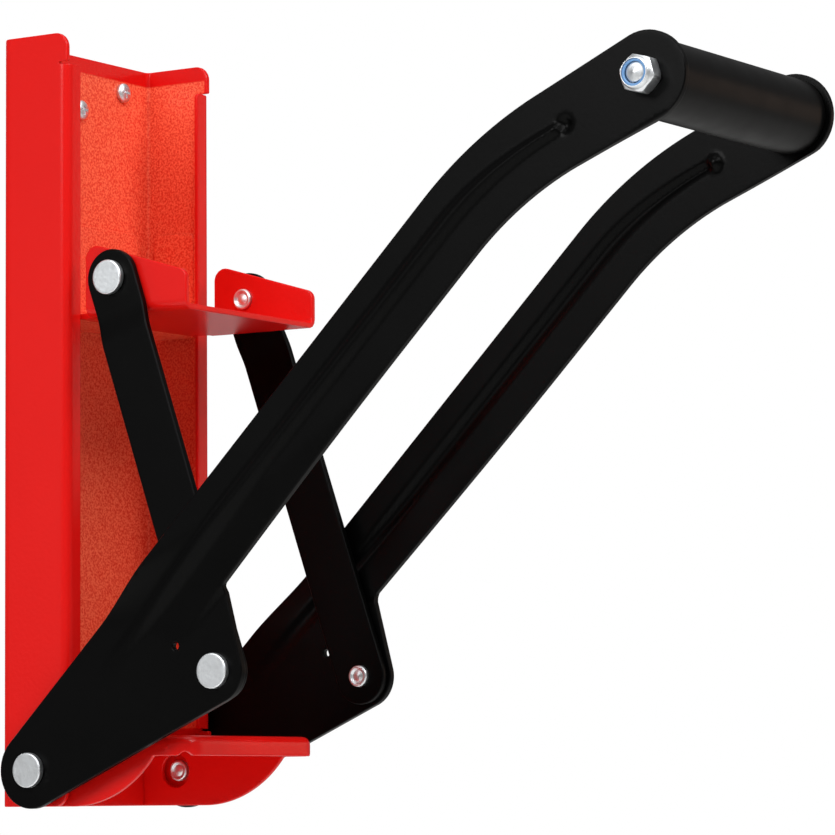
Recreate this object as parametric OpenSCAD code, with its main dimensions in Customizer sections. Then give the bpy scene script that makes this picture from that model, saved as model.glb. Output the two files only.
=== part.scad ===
// Wall-mounted can crusher: a sheet-steel frame with a seat, a press that slides in the
// frame, two stamped arms joined by a handle, and two link bars that pull the press down.
// +Z is up, the wall is at +Y and the front is at -Y. The origin is the centre of the
// four corner screws on the back face. Sizes are in millimetres.

/* [Frame] */
// Height of the wall frame
frame_h = 305; // [270:1:370]
// Overall width of the wall frame
frame_w = 96; // [88:0.2:120]
// Depth of the frame from the wall to the front of its lips
frame_d = 32.6; // [29:0.2:40]
// Sheet thickness of the frame, the seat and the press
sheet_t = 2; // [1.5:0.1:2.5]
// Middle radius of a bend in the frame sheet
bend_r = 2.5; // [1.6:0.1:4]
// Width of the lips that hold the press in the frame
lip_w = 9; // [6:0.5:11]
// Distance from the top of the frame down to the lips
lip_drop = 12.5; // [8:0.5:20]
// Radius of the upper front corners of the side walls
wall_corner_r = 6; // [3:0.5:9]

/* [Seat] */
// Height of the top of the seat above the foot of the frame
seat_h = 27; // [22:0.5:32]
// Reach of the seat from the front of the frame
seat_reach = 55.4; // [46:0.2:66]
// Height of the turned-down rim
seat_rim_h = 7.8; // [5:0.2:10]
// Plan radius of the front corners of the seat
seat_corner_r = 9; // [5:0.5:14]
// Gap between the seat and the side walls
seat_gap = 1.4; // [1.2:0.1:2.6]
// Radius of the curved lower edge of the gussets
gusset_r = 49; // [44:1:60]

/* [Press] */
// Reach of the press from the front of the frame
press_reach = 55; // [46:0.2:66]
// Thickness of the press plate
press_t = 2.4; // [2:0.1:3]
// Distance from the front of the frame to the press rivets
press_pin_d = 21; // [17:0.5:25]
// Drop from the press rivets to the underside of the plate
press_pin_h = 14.1; // [12:0.1:18]
// Height of the rear end of the ears above the underside
ear_rear_h = 29.4; // [27:0.2:34]
// Height of the front end of the ears above the underside
ear_front_h = 15; // [12:0.2:20]
// Height of the guide tabs that run inside the frame
tab_h = 44; // [30:1:50]
// Width of the rear guide tab
rear_tab_w = 72; // [50:1:76]
// Running gap round the guide
guide_gap = 0.4; // [0.3:0.05:0.6]

/* [Linkage] */
// Distance from the wall to the arm rivets
pivot_d = 18.2; // [15:0.1:20]
// Height of the arm rivets above the foot of the frame
pivot_h = 14.2; // [12:0.1:17]
// Distance from an arm rivet to the link rivet on the arm
crank_l = 95.8; // [88:0.1:104]
// Angle of that line above the horizontal
crank_a = 22.5; // [20:0.1:25]
// Distance between the two rivets of a link
link_l = 163.5; // [150:0.5:176]
// Width of a link bar
link_w = 22.5; // [19:0.5:24]
// Thickness of the arm and link plates
plate_t = 3; // [2.5:0.1:3.5]
// Gap between plates that pass each other
plate_gap = 0.3; // [0.3:0.05:0.5]
// Sideways step in a link, from the ear out to the arm
link_step = 1.8; // [1.6:0.1:2.6]

/* [Arms] */
// Width of the bar of an arm
bar_w = 31.5; // [28:0.5:34]
// Angle of the bar above the horizontal
bar_a = 45; // [43:0.5:47]
// Length of the straight line from the arm rivet to the corner of the bend
bar_l = 308; // [260:1:370]
// Distance of the bar's middle line below the arm rivet
bar_drop = 1; // [0:0.1:2]
// Middle radius of the bend
bar_bend_r = 150; // [120:5:180]
// Angle of the handle end above the horizontal
tip_a = 23.3; // [18:0.1:28]
// Distance from the corner of the bend to the handle bolt
tip_l = 69.3; // [58:0.1:84]
// End radius round the arm rivet
foot_r = 15; // [14.5:0.1:16]
// End radius round the link rivet
ear_r = 12.5; // [11.5:0.1:14]
// End radius round the handle bolt
tip_r = 16.6; // [15.8:0.1:18]
// Distance along the bar to the inner corner above the link rivet
ear_corner_s = 114.6; // [110:0.2:120]
// Outward step of the bar between the rivets and the handle
bar_step = 4.8; // [3:0.1:6]
// Distance along the bar to the start of the step
step_start = 104; // [103:1:112]
// Length of the step
step_l = 30; // [20:1:40]
// Diameter of the small relief hole beside the link rivet
relief_d = 3; // [2:0.1:4]

/* [Handle] */
// Outer diameter of the grip
grip_d = 29; // [26:0.5:31]
// Wall of the grip
grip_t = 3; // [2:0.1:4]
// Wall of the spacer tube inside the grip
tube_t = 1.5; // [1.2:0.1:2]
// Depth that an end bush reaches into the spacer tube
bush_l = 10; // [8:0.5:14]
// Diameter of the handle bolt
bolt_d = 8; // [6:1:8]
// Width across the flats of the bolt head and the nut
hex_af = 13; // [12:0.5:14]

/* [Rivets and screws] */
// Diameter of a rivet shank
rivet_d = 6; // [5:0.5:6]
// Diameter of a rivet head
rivet_head_d = 13.6; // [12:0.2:15]
// Height of a rivet head
rivet_head_h = 2.5; // [2:0.1:3]
// Diameter of the closed end of a rivet
rivet_tail_d = 8.6; // [8:0.2:10]
// Height of the closed end of a rivet
rivet_tail_h = 1.9; // [1.5:0.1:2]
// Radial clearance where a plate turns on a rivet
turn_gap = 0.06; // [0.02:0.01:0.09]
// Least thickness of the washer between the frame and an arm
washer_min_t = 0.5; // [0.4:0.1:1]
// Distance between the screws across the frame
screw_span_x = 57; // [40:1:60]
// Distance from the top of the frame down to the upper screws
screw_top = 11; // [10:0.5:14]
// Distance from the foot of the frame up to the lower screws
screw_foot = 52; // [44:1:54]
// Distance from the upper screws down to the middle screw
screw_mid = 11; // [9:0.5:16]
// Diameter of a wall screw
screw_d = 4.2; // [3.5:0.1:5]
// Diameter of its plain neck in the frame
screw_neck_d = 4.6; // [4.4:0.1:5.6]
// Diameter of a screw head
screw_head_d = 8; // [7:0.1:9]
// Height of a screw head
screw_head_h = 2.6; // [2:0.1:3]
// Length of a wall screw under its head
screw_l = 13; // [12:1:40]

/* [Hidden] */
$fn = 64;

red = [0.87, 0.08, 0.08];
black = [0.05, 0.05, 0.055];
zinc = [0.78, 0.79, 0.8];

// Small fixed amounts of the folded sheets
ear_inset = 0.4;
ear_set_back = 6.2;
lip_rise = 4;
access_gap = 2.5;

// Layers across the machine, as distances from its middle plane
wall_out = frame_w / 2;
wall_in = wall_out - sheet_t;
seat_out = wall_in - seat_gap;
ear_out = seat_out - ear_inset;
link_in = ear_out + plate_gap;
link_low_in = link_in + link_step;
arm_in = max(wall_out + washer_min_t, link_low_in + plate_t) + plate_gap;
washer_t = arm_in - plate_gap - wall_out;
bar_in = arm_in + bar_step;
bar_out = bar_in + plate_t;

// Points in the side plane: [distance from the wall, height above the foot of the frame]
pivot = [pivot_d, pivot_h];
crank_pin = pivot + crank_l * [cos(crank_a), sin(crank_a)];
press_pin_x = frame_d + press_pin_d;
link_lean = asin((crank_pin[0] - press_pin_x) / link_l);
press_pin = [press_pin_x, crank_pin[1] + link_l * cos(link_lean)];
bar_foot = pivot + bar_drop * [sin(bar_a), -cos(bar_a)];
bend_corner = bar_foot + bar_l * [cos(bar_a), sin(bar_a)];
grip_pin = bend_corner + tip_l * [cos(tip_a), sin(tip_a)];
bend_cut = bar_bend_r * tan((bar_a - tip_a) / 2);
ear_corner = bar_foot + ear_corner_s * [cos(bar_a), sin(bar_a)]
    + bar_w / 2 * [sin(bar_a), -cos(bar_a)];

// Heights above the foot of the frame
screw_top_z = frame_h - screw_top;
origin_z = (screw_top_z + screw_foot) / 2;
press_z = press_pin[1] - press_pin_h;
lip_foot_z = seat_h + lip_rise;

// Front edges, as distances from the wall
seat_front = frame_d + seat_reach;
press_front = frame_d + press_reach;
ear_rear = frame_d + ear_set_back;

// Guide of the press inside the frame
guide_half = wall_in - guide_gap;
guide_back = sheet_t + guide_gap;
guide_front = frame_d - sheet_t - guide_gap;

arc_steps = 18;
bore_d = rivet_d + 2 * turn_gap;
access_d = rivet_tail_d + 2 * access_gap;

// Side space: x is the distance from the wall, y the height above the foot and z the
// distance from the middle plane towards the left.
module side_space() {
    translate([0, 0, -origin_z]) rotate([90, 0, -90]) children();
}

// The same space on the right of the machine
module right_side() {
    mirror([1, 0, 0]) side_space() children();
}

// Plan space: x is across the machine, y the distance from the wall, z the height
module plan_space() {
    translate([0, 0, -origin_z]) mirror([0, 1, 0]) children();
}

function length2(v) = sqrt(v[0] * v[0] + v[1] * v[1]);
function heading(v) = atan2(v[1], v[0]);
function on_circle(c, r, a) = c + r * [cos(a), sin(a)];

// Points of an arc
function arc(c, r, a_from, a_to) = [
    for (i = [0:arc_steps]) on_circle(c, r, a_from + i * (a_to - a_from) / arc_steps)
];

// Angle of a tangent's touching point, from the line that joins two circles
function touch_lean(p, p_r, q, q_r) = acos((p_r - q_r) / length2(q - p));

// A piece of a ring between two directions
module ring_sector(r_in, r_out, a_from, a_to) {
    reach = 2 * r_out;
    intersection() {
        difference() {
            circle(r = r_out, $fn = 128);
            circle(r = r_in, $fn = 128);
        }
        polygon([
            [0, 0], on_circle([0, 0], reach, a_from),
            on_circle([0, 0], reach, (a_from + a_to) / 2), on_circle([0, 0], reach, a_to)
        ]);
    }
}

// A plate whose plane steps outwards: points along the plate and across the machine
module step_profile(z_in, step, from, run, back, far) {
    polygon([
        [back, z_in], [from, z_in], [from + run, z_in + step], [far, z_in + step],
        [far, z_in + step + plate_t], [from + run, z_in + step + plate_t],
        [from, z_in + plate_t], [back, z_in + plate_t]
    ]);
}

module stepped_plate(start, a, z_in, step, from, run, back, far, half_w) {
    translate(start) rotate([0, 0, a]) rotate([90, 0, 0])
        linear_extrude(height = 2 * half_w, center = true)
            step_profile(z_in, step, from, run, back, far);
}

// ---- Frame ------------------------------------------------------------------------------

module frame_bend(c, a_from) {
    translate(c) ring_sector(bend_r - sheet_t / 2, bend_r + sheet_t / 2, a_from, a_from + 90);
}

// Half of the channel seen from above: back panel, side wall and, with lips, the lip
module half_channel(with_lip) {
    edge = bend_r + sheet_t / 2;
    square([wall_out - edge, sheet_t]);
    frame_bend([wall_out - edge, edge], -90);
    translate([wall_in, edge])
        square([sheet_t, frame_d - (with_lip ? 2 : 1) * edge]);
    if (with_lip) {
        frame_bend([wall_out - edge, frame_d - edge], 0);
        translate([wall_in - lip_w + sheet_t, frame_d - sheet_t])
            square([lip_w - bend_r - sheet_t / 2, sheet_t]);
    }
}

module channel(with_lip) {
    half_channel(with_lip);
    mirror([1, 0]) half_channel(with_lip);
}

// Outline that the side walls are cut to, with round front corners
module wall_outline() {
    square([frame_d - wall_corner_r, frame_h]);
    translate([0, wall_corner_r]) square([frame_d, frame_h - 2 * wall_corner_r]);
    for (z = [wall_corner_r, frame_h - wall_corner_r])
        translate([frame_d - wall_corner_r, z]) circle(r = wall_corner_r);
}

function screw_spots() = concat(
    [for (x = [-1, 1], z = [screw_foot, screw_top_z]) [x * screw_span_x / 2, z]],
    [[0, screw_top_z - screw_mid]]
);

module back_frame() {
    color(red) difference() {
        intersection() {
            plan_space() {
                linear_extrude(lip_foot_z) channel(false);
                translate([0, 0, lip_foot_z])
                    linear_extrude(frame_h - lip_drop - lip_foot_z) channel(true);
                translate([0, 0, frame_h - lip_drop]) linear_extrude(lip_drop) channel(false);
            }
            side_space() linear_extrude(height = 2 * frame_w, center = true) wall_outline();
        }
        for (p = screw_spots())
            translate([p[0], 0, p[1] - origin_z]) rotate([90, 0, 0])
                cylinder(h = 3 * sheet_t, d = screw_neck_d, center = true);
        side_space() translate([pivot[0], pivot[1], 0])
            cylinder(h = 2 * frame_w, d = rivet_d, center = true);
    }
}

// ---- Seat -------------------------------------------------------------------------------

// Seat seen from above, drawn in by a distance
module seat_plan(inset) {
    half = seat_out - inset;
    r = seat_corner_r - inset;
    translate([-half, sheet_t]) square([2 * half, seat_front - inset - r - sheet_t]);
    translate([-half + r, sheet_t]) square([2 * (half - r), seat_front - inset - sheet_t]);
    for (x = [-1, 1])
        translate([x * (half - r), seat_front - inset - r]) circle(r = r);
}

// Gusset seen from the side, with a curved lower edge in front of the frame
module gusset_outline() {
    translate([sheet_t, 0]) square([frame_d - sheet_t, seat_h - sheet_t / 2]);
    intersection() {
        translate([frame_d, gusset_r]) circle(r = gusset_r, $fn = 128);
        translate([frame_d, 0]) square([gusset_r, seat_h - sheet_t / 2]);
    }
}

module can_seat() {
    rim_foot = seat_h - seat_rim_h;
    rim_back = frame_d + sqrt(pow(gusset_r, 2) - pow(gusset_r - rim_foot, 2));
    color(red) {
        plan_space() translate([0, 0, seat_h - sheet_t]) linear_extrude(sheet_t) seat_plan(0);
        plan_space() translate([0, 0, rim_foot])
            linear_extrude(seat_rim_h - sheet_t / 2)
                difference() {
                    seat_plan(0);
                    seat_plan(sheet_t);
                    translate([-frame_w, 0]) square([2 * frame_w, rim_back]);
                }
        for (side = [0, 1])
            mirror([side, 0, 0]) side_space() translate([0, 0, seat_out - sheet_t])
                difference() {
                    linear_extrude(sheet_t) gusset_outline();
                    translate([pivot[0], pivot[1], sheet_t / 2])
                        cylinder(h = 2 * sheet_t, d = access_d, center = true);
                }
    }
}

// ---- Screws and rivets ------------------------------------------------------------------

// A pan-head screw that points along +Z, with its bearing face at zero
module pan_screw() {
    tip = 3;
    cross_w = 1;
    cross_l = 0.55 * screw_head_d;
    cross_deep = 1.3;
    edge_h = 0.4 * screw_head_h;
    dome_r = (pow(screw_head_d / 2, 2) + pow(screw_head_h - edge_h, 2))
        / (2 * (screw_head_h - edge_h));
    difference() {
        union() {
            cylinder(h = sheet_t, d = screw_neck_d);
            cylinder(h = screw_l - tip, d = screw_d);
            translate([0, 0, screw_l - tip]) cylinder(h = tip, d1 = screw_d, d2 = 0.6);
            intersection() {
                translate([0, 0, -screw_head_h]) cylinder(h = screw_head_h, d = screw_head_d);
                translate([0, 0, -screw_head_h + dome_r]) sphere(r = dome_r);
            }
        }
        for (a = [0, 90])
            rotate([0, 0, a]) translate([-cross_l / 2, -cross_w / 2, -screw_head_h - cross_w])
                cube([cross_l, cross_w, cross_w + cross_deep]);
    }
}

module wall_screws() {
    color(zinc)
        for (p = screw_spots())
            translate([p[0], -sheet_t, p[1] - origin_z]) rotate([-90, 0, 0]) pan_screw();
}

module rivet_head() {
    chamfer = 0.5;
    rotate_extrude() polygon([
        [0, 0], [rivet_head_d / 2 - 0.1, 0], [rivet_head_d / 2, 0.3],
        [rivet_head_d / 2, rivet_head_h - chamfer],
        [rivet_head_d / 2 - chamfer, rivet_head_h], [0, rivet_head_h]
    ]);
}

// Closed end of a rivet: a rolled ring round a shallow dome, standing along -Z
module rivet_tail() {
    r = rivet_tail_d / 2;
    h = rivet_tail_h;
    rotate_extrude() polygon([
        [0, 0], [r, 0], [r, -0.7 * h], [r - 0.4, -h], [r - 1, -h], [r - 1.4, -0.6 * h],
        [0.45 * r, -0.7 * h], [0, -0.8 * h]
    ]);
}

// Head and shank of a rivet through the layers from z_in to z_out
module rivet(at, z_in, z_out, head = true, tail = true) {
    translate([at[0], at[1], 0]) {
        translate([0, 0, z_in]) cylinder(h = z_out - z_in, d = rivet_d);
        if (head) translate([0, 0, z_out]) rivet_head();
        if (tail) translate([0, 0, z_in]) rivet_tail();
    }
}

// Arm rivet: closed inside the frame wall, with its head outside the arm
module frame_rivet() {
    color(zinc) rivet(pivot, wall_in, arm_in + plate_t + plate_gap);
}

module pivot_washer() {
    washer_inset = 4;
    color(zinc) translate([pivot[0], pivot[1], wall_out])
        difference() {
            cylinder(h = washer_t, r = foot_r - washer_inset);
            translate([0, 0, -1]) cylinder(h = washer_t + 2, d = rivet_d);
        }
}

// Press rivet: closed inside the ear, with its head outside the link
module press_rivet() {
    color(zinc) rivet(press_pin, ear_out - sheet_t, link_in + plate_t + plate_gap);
}

// Link rivet, outer part: its head and the stretch of shank in the arm
module arm_pin() {
    color(zinc) rivet(crank_pin, arm_in, arm_in + plate_t, tail = false);
}

// Link rivet, inner part: its closed end and the stretch of shank in the link
module link_pin() {
    color(zinc) rivet(crank_pin, link_low_in, link_low_in + plate_t, head = false);
}

// ---- Press ------------------------------------------------------------------------------

// Press plate seen from above. The guide has cut corners that clear the bends of the frame.
module press_plan() {
    corner_r = 4;
    neck_half = wall_out - lip_w - 2 * guide_gap;
    corners = [
        [guide_half - bend_r, guide_back], [guide_half, guide_back + bend_r],
        [guide_half, guide_front - bend_r], [guide_half - bend_r, guide_front]
    ];
    polygon(concat(corners, [for (i = [3:-1:0]) [-corners[i][0], corners[i][1]]]));
    translate([-neck_half, guide_back]) square([2 * neck_half, ear_rear]);
    translate([-ear_out, ear_rear]) square([2 * ear_out, press_front - corner_r - ear_rear]);
    translate([-ear_out + corner_r, ear_rear])
        square([2 * (ear_out - corner_r), press_front - ear_rear]);
    for (x = [-1, 1])
        translate([x * (ear_out - corner_r), press_front - corner_r]) circle(r = corner_r);
}

// Ear seen from the side, above the underside of the plate
module ear_outline() {
    rear_r = 5;
    front_r = 4;
    rear = [ear_rear + rear_r, ear_rear_h - rear_r];
    front = [press_front - front_r, ear_front_h - front_r];
    top_a = heading(front - rear) + touch_lean(rear, rear_r, front, front_r);
    polygon(concat(
        [[ear_rear, 0], [front[0] - 0.2, 0], [press_front, front[1]]],
        arc(front, front_r, 0, top_a),
        arc(rear, rear_r, top_a, 180)
    ));
}

module round_top_tab(w, h) {
    r = 3;
    square([w, h - r]);
    translate([r, 0]) square([w - 2 * r, h]);
    for (x = [r, w - r]) translate([x, h - r]) circle(r = r);
}

module press_plate() {
    tab_space = 2;
    side_tab_back = guide_back + sheet_t + tab_space;
    side_tab_w = guide_front - bend_r - side_tab_back;
    color(red) {
        difference() {
            union() {
                plan_space() translate([0, 0, press_z]) linear_extrude(press_t) press_plan();
                for (side = [0, 1])
                    mirror([side, 0, 0]) side_space()
                        translate([0, press_z, ear_out - sheet_t])
                            linear_extrude(sheet_t) ear_outline();
            }
            side_space() translate([press_pin[0], press_pin[1], 0])
                cylinder(h = 2 * frame_w, d = rivet_d, center = true);
        }
        translate([-rear_tab_w / 2, -guide_back, press_z - origin_z])
            rotate([90, 0, 0]) linear_extrude(sheet_t) round_top_tab(rear_tab_w, tab_h);
        for (side = [0, 1])
            mirror([side, 0, 0]) side_space()
                translate([side_tab_back, press_z, guide_half - sheet_t])
                    linear_extrude(sheet_t) round_top_tab(side_tab_w, tab_h);
    }
}

// ---- Links ------------------------------------------------------------------------------

module link_bar() {
    step_from = 15;
    step_run = 9;
    color(black) difference() {
        intersection() {
            linear_extrude(height = 2 * bar_out)
                polygon(concat(
                    arc(press_pin, link_w / 2, link_lean, link_lean + 180),
                    arc(crank_pin, link_w / 2, link_lean + 180, link_lean + 360)
                ));
            stepped_plate(press_pin, link_lean - 90, link_in, link_step, step_from,
                step_run, -link_w, link_l + link_w, link_w);
        }
        translate([press_pin[0], press_pin[1], 0]) cylinder(h = 2 * bar_out, d = bore_d);
        translate([crank_pin[0], crank_pin[1], 0]) cylinder(h = 2 * bar_out, d = rivet_d);
    }
}

// ---- Arms -------------------------------------------------------------------------------

// Arm seen from the side, taken round from the arm rivet past the link rivet to the handle
module arm_outline() {
    bar_side = bar_w / 2;
    bend_centre = bend_corner - bend_cut * [cos(bar_a), sin(bar_a)]
        + bar_bend_r * [sin(bar_a), -cos(bar_a)];
    foot_a = heading(crank_pin - pivot) - touch_lean(pivot, foot_r, crank_pin, ear_r);
    ear_a = heading(ear_corner - crank_pin) - touch_lean(crank_pin, ear_r, ear_corner, 0);
    polygon(concat(
        arc(pivot, foot_r, bar_a + 90, foot_a + 360),
        arc(crank_pin, ear_r, foot_a, ear_a),
        [ear_corner],
        arc(bend_centre, bar_bend_r - bar_side, bar_a + 90, tip_a + 90),
        arc(grip_pin, tip_r, tip_a - 90, tip_a + 90),
        arc(bend_centre, bar_bend_r + bar_side, tip_a + 90, bar_a + 90)
    ));
}

module arm() {
    relief_share = 0.72;
    relief = bar_foot + relief_share * ear_corner_s * [cos(bar_a), sin(bar_a)]
        + bar_w / 2 * [sin(bar_a), -cos(bar_a)];
    color(black) difference() {
        intersection() {
            linear_extrude(height = 2 * bar_out) arm_outline();
            stepped_plate(bar_foot, bar_a, arm_in, bar_step, step_start, step_l,
                -frame_w, bar_l + 2 * tip_l, bar_l);
        }
        translate([pivot[0], pivot[1], 0]) cylinder(h = 2 * bar_out, d = bore_d);
        translate([crank_pin[0], crank_pin[1], 0]) cylinder(h = 2 * bar_out, d = rivet_d);
        translate([grip_pin[0], grip_pin[1], 0]) cylinder(h = 2 * bar_out, d = bolt_d);
        translate([relief[0], relief[1], 0]) cylinder(h = 2 * bar_out, d = relief_d);
    }
}

// ---- Handle -----------------------------------------------------------------------------

// Handle space: Z runs along the handle bolt towards the left, zero in the middle
module handle_space() {
    side_space() translate([grip_pin[0], grip_pin[1], 0]) children();
}

module sleeve(l, d_out, d_in) {
    difference() {
        cylinder(h = l, d = d_out, center = true);
        cylinder(h = l + 2, d = d_in, center = true);
    }
}

module handle_grip() {
    color(black) handle_space() sleeve(2 * bar_in, grip_d, grip_d - 2 * grip_t);
}

module handle_tube() {
    tube_d = grip_d - 2 * grip_t;
    color("gray") handle_space() sleeve(2 * bar_in, tube_d, tube_d - 2 * tube_t);
}

module end_bush() {
    bush_d = grip_d - 2 * grip_t - 2 * tube_t;
    color("dimgray") translate([0, 0, bar_in - bush_l / 2]) sleeve(bush_l, bush_d, bolt_d);
}

module hex_prism(h) {
    chamfer = 0.8;
    intersection() {
        cylinder(h = h, d = hex_af / cos(30), $fn = 6);
        rotate_extrude() polygon([
            [0, 0], [hex_af / 2 + chamfer, 0], [hex_af / 2 + chamfer, h - chamfer],
            [hex_af / 2 - chamfer / 2, h], [0, h]
        ]);
    }
}

module handle_bolt() {
    head_h = 5.3;
    nut_stand = 9.2;
    color(zinc) handle_space() {
        translate([0, 0, -bar_out])
            cylinder(h = 2 * bar_out + nut_stand - 1, d = bolt_d);
        translate([0, 0, -bar_out]) mirror([0, 0, 1]) hex_prism(head_h);
    }
}

// Lock nut: a hexagon with a round collar round its insert
module handle_nut() {
    hex_h = 6.5;
    collar_h = 1.9;
    color(zinc) handle_space() translate([0, 0, bar_out])
        difference() {
            union() {
                hex_prism(hex_h);
                translate([0, 0, hex_h]) cylinder(h = collar_h, d1 = hex_af - 1, d2 = hex_af - 3);
            }
            translate([0, 0, -1]) cylinder(h = hex_h + collar_h + 2, d = bolt_d);
        }
}

// ---- Nodes ------------------------------------------------------------------------------

back_frame();
can_seat();
wall_screws();
press_plate();
side_space() press_rivet();  // press_rivet_left
right_side() press_rivet();  // press_rivet_right
side_space() link_bar();  // link_left
right_side() link_bar();  // link_right
side_space() link_pin();  // link_pin_left
right_side() link_pin();  // link_pin_right
side_space() arm();  // arm_left
right_side() arm();  // arm_right
side_space() arm_pin();  // arm_pin_left
right_side() arm_pin();  // arm_pin_right
side_space() frame_rivet();  // frame_rivet_left
right_side() frame_rivet();  // frame_rivet_right
side_space() pivot_washer();  // pivot_washer_left
right_side() pivot_washer();  // pivot_washer_right
handle_grip();
handle_tube();
handle_space() end_bush();  // end_bush_left
mirror([1, 0, 0]) handle_space() end_bush();  // end_bush_right
handle_bolt();
handle_nut();
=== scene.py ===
"""Looks of a wall-mounted can crusher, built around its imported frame.

The frame gives every place. Pieces are meshed in the frame's own axes: +Z up, the wall at +Y
and the front at -Y. Sheet-metal pieces are cut as flat blanks and then folded or stamped, as
the real ones are. Sizes are in millimetres until a mesh is made.
"""

import logging
import math
from collections.abc import Callable
from dataclasses import dataclass, field
from enum import Enum

import bpy
import numpy as np
from mathutils import Matrix, Vector
from mathutils.geometry import delaunay_2d_cdt

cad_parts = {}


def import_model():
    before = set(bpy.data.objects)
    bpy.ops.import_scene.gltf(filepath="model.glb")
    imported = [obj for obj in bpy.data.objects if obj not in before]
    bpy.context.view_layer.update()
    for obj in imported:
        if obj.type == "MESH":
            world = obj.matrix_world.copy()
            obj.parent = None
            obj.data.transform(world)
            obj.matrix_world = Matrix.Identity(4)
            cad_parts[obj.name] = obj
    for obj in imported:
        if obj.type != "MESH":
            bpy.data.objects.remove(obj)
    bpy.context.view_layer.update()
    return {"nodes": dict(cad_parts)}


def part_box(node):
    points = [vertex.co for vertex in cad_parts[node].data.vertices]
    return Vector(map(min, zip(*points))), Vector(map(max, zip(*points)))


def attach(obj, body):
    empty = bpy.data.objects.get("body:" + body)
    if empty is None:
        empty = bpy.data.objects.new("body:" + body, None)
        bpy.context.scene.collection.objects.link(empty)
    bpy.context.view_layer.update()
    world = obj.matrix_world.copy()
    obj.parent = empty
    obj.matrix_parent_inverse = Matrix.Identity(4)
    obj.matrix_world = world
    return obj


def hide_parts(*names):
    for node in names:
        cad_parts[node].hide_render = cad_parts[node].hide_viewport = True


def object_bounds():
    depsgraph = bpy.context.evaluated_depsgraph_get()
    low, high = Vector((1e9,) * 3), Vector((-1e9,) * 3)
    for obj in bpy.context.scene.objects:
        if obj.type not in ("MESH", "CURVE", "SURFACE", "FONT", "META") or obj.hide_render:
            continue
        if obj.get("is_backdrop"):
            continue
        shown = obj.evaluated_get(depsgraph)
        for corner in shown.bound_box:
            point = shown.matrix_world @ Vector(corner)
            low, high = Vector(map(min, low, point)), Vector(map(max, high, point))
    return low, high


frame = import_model()

logging.basicConfig(level=logging.INFO, format="%(message)s")
log = logging.getLogger("can_crusher")

MM = 0.001
WELD = 0.001
QUARTER = math.pi / 2

Loop = np.ndarray
Placement = Callable[[np.ndarray, np.ndarray], np.ndarray]
Tree = bpy.types.NodeTree
Socket = bpy.types.NodeSocket


class Side(Enum):
    """A side of the machine, with the sign of its X."""

    LEFT = -1
    RIGHT = 1

    @property
    def word(self) -> str:
        """The side's name as node names spell it."""
        return self.name.lower()


class Turn(Enum):
    """The way a flange is folded, seen from the sheet's upper face."""

    UP = 1
    DOWN = -1


# ---- Places ------------------------------------------------------------------------------


def extent(node: str) -> tuple[np.ndarray, np.ndarray]:
    """Give a node's lowest and highest corners at rest.

    Args:
        node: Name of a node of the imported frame.

    Returns:
        Two corners in millimetres.
    """
    low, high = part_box(node)
    return np.array(low) / MM, np.array(high) / MM


FOOT = float(extent("back_frame")[0][2])


def spot(node: str) -> np.ndarray:
    """Give the middle of a node in the side plane.

    Args:
        node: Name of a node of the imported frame.

    Returns:
        Distance from the wall and height above the frame's foot, in millimetres.
    """
    low, high = extent(node)
    middle = (low + high) / 2
    return np.array([-middle[1], middle[2] - FOOT])


def sides(node: str) -> tuple[float, float]:
    """Give how far a node's near and far face are from the middle plane, in millimetres."""
    low, high = extent(node)
    near, far = sorted((abs(low[0]), abs(high[0])))
    return near, far


def world(across: np.ndarray, depth: np.ndarray, height: np.ndarray) -> np.ndarray:
    """Turn machine places into points of the frame.

    Args:
        across: Distance to the right of the middle plane, in millimetres.
        depth: Distance from the wall, in millimetres.
        height: Height above the frame's foot, in millimetres.

    Returns:
        Points in metres, one row each.
    """
    return np.stack(np.broadcast_arrays(across, -depth, height + FOOT), -1) * MM


# ---- Outlines ----------------------------------------------------------------------------


def direction(angle: float) -> np.ndarray:
    """Give the unit vector at an angle in degrees."""
    return np.array([math.cos(math.radians(angle)), math.sin(math.radians(angle))])


def arc(centre: np.ndarray, radius: float, start: float, end: float, steps: int = 24) -> Loop:
    """Give the points of an arc.

    Args:
        centre: Centre of the arc.
        radius: Radius of the arc.
        start: First angle in degrees.
        end: Last angle in degrees.
        steps: Number of steps along the arc.

    Returns:
        Points, one row each.
    """
    angles = np.radians(np.linspace(start, end, steps + 1))
    return centre + radius * np.stack([np.cos(angles), np.sin(angles)], 1)


def circle(centre: np.ndarray, radius: float, steps: int = 40) -> Loop:
    """Give the points of a circle, without its first point again at the end."""
    return arc(centre, radius, 0, 360, steps)[:-1]


def hole_pair(across: float, along: float, radius: float) -> list[Loop]:
    """Give a hole to the left and one to the right of a blank's middle line."""
    return [circle(np.array([side.value * across, along]), radius) for side in Side]


def rounded(corners: list[tuple[float, float, float]], steps: int = 6) -> Loop:
    """Join corners by straight lines and round each one.

    Args:
        corners: Each corner's two coordinates and its radius, zero for a sharp one.
        steps: Number of steps round a corner.

    Returns:
        Points of the closed loop.
    """
    points = np.array([corner[:2] for corner in corners], float)
    made = []
    for i, (_, _, radius) in enumerate(corners):
        here = points[i]
        back = points[i - 1] - here
        ahead = points[(i + 1) % len(points)] - here
        back /= np.linalg.norm(back)
        ahead /= np.linalg.norm(ahead)
        if radius <= 0:
            made.append(here[None])
            continue
        half = math.acos(float(np.clip(back @ ahead, -1, 1))) / 2
        middle = (back + ahead) / np.linalg.norm(back + ahead)
        centre = here + middle * radius / math.sin(half)
        first = here + back * radius / math.tan(half) - centre
        last = here + ahead * radius / math.tan(half) - centre
        share = np.linspace(0, 1, steps + 1)[:, None]
        chord = first * (1 - share) + last * share
        made.append(centre + radius * chord / np.linalg.norm(chord, axis=1, keepdims=True))
    return np.concatenate(made)


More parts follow.
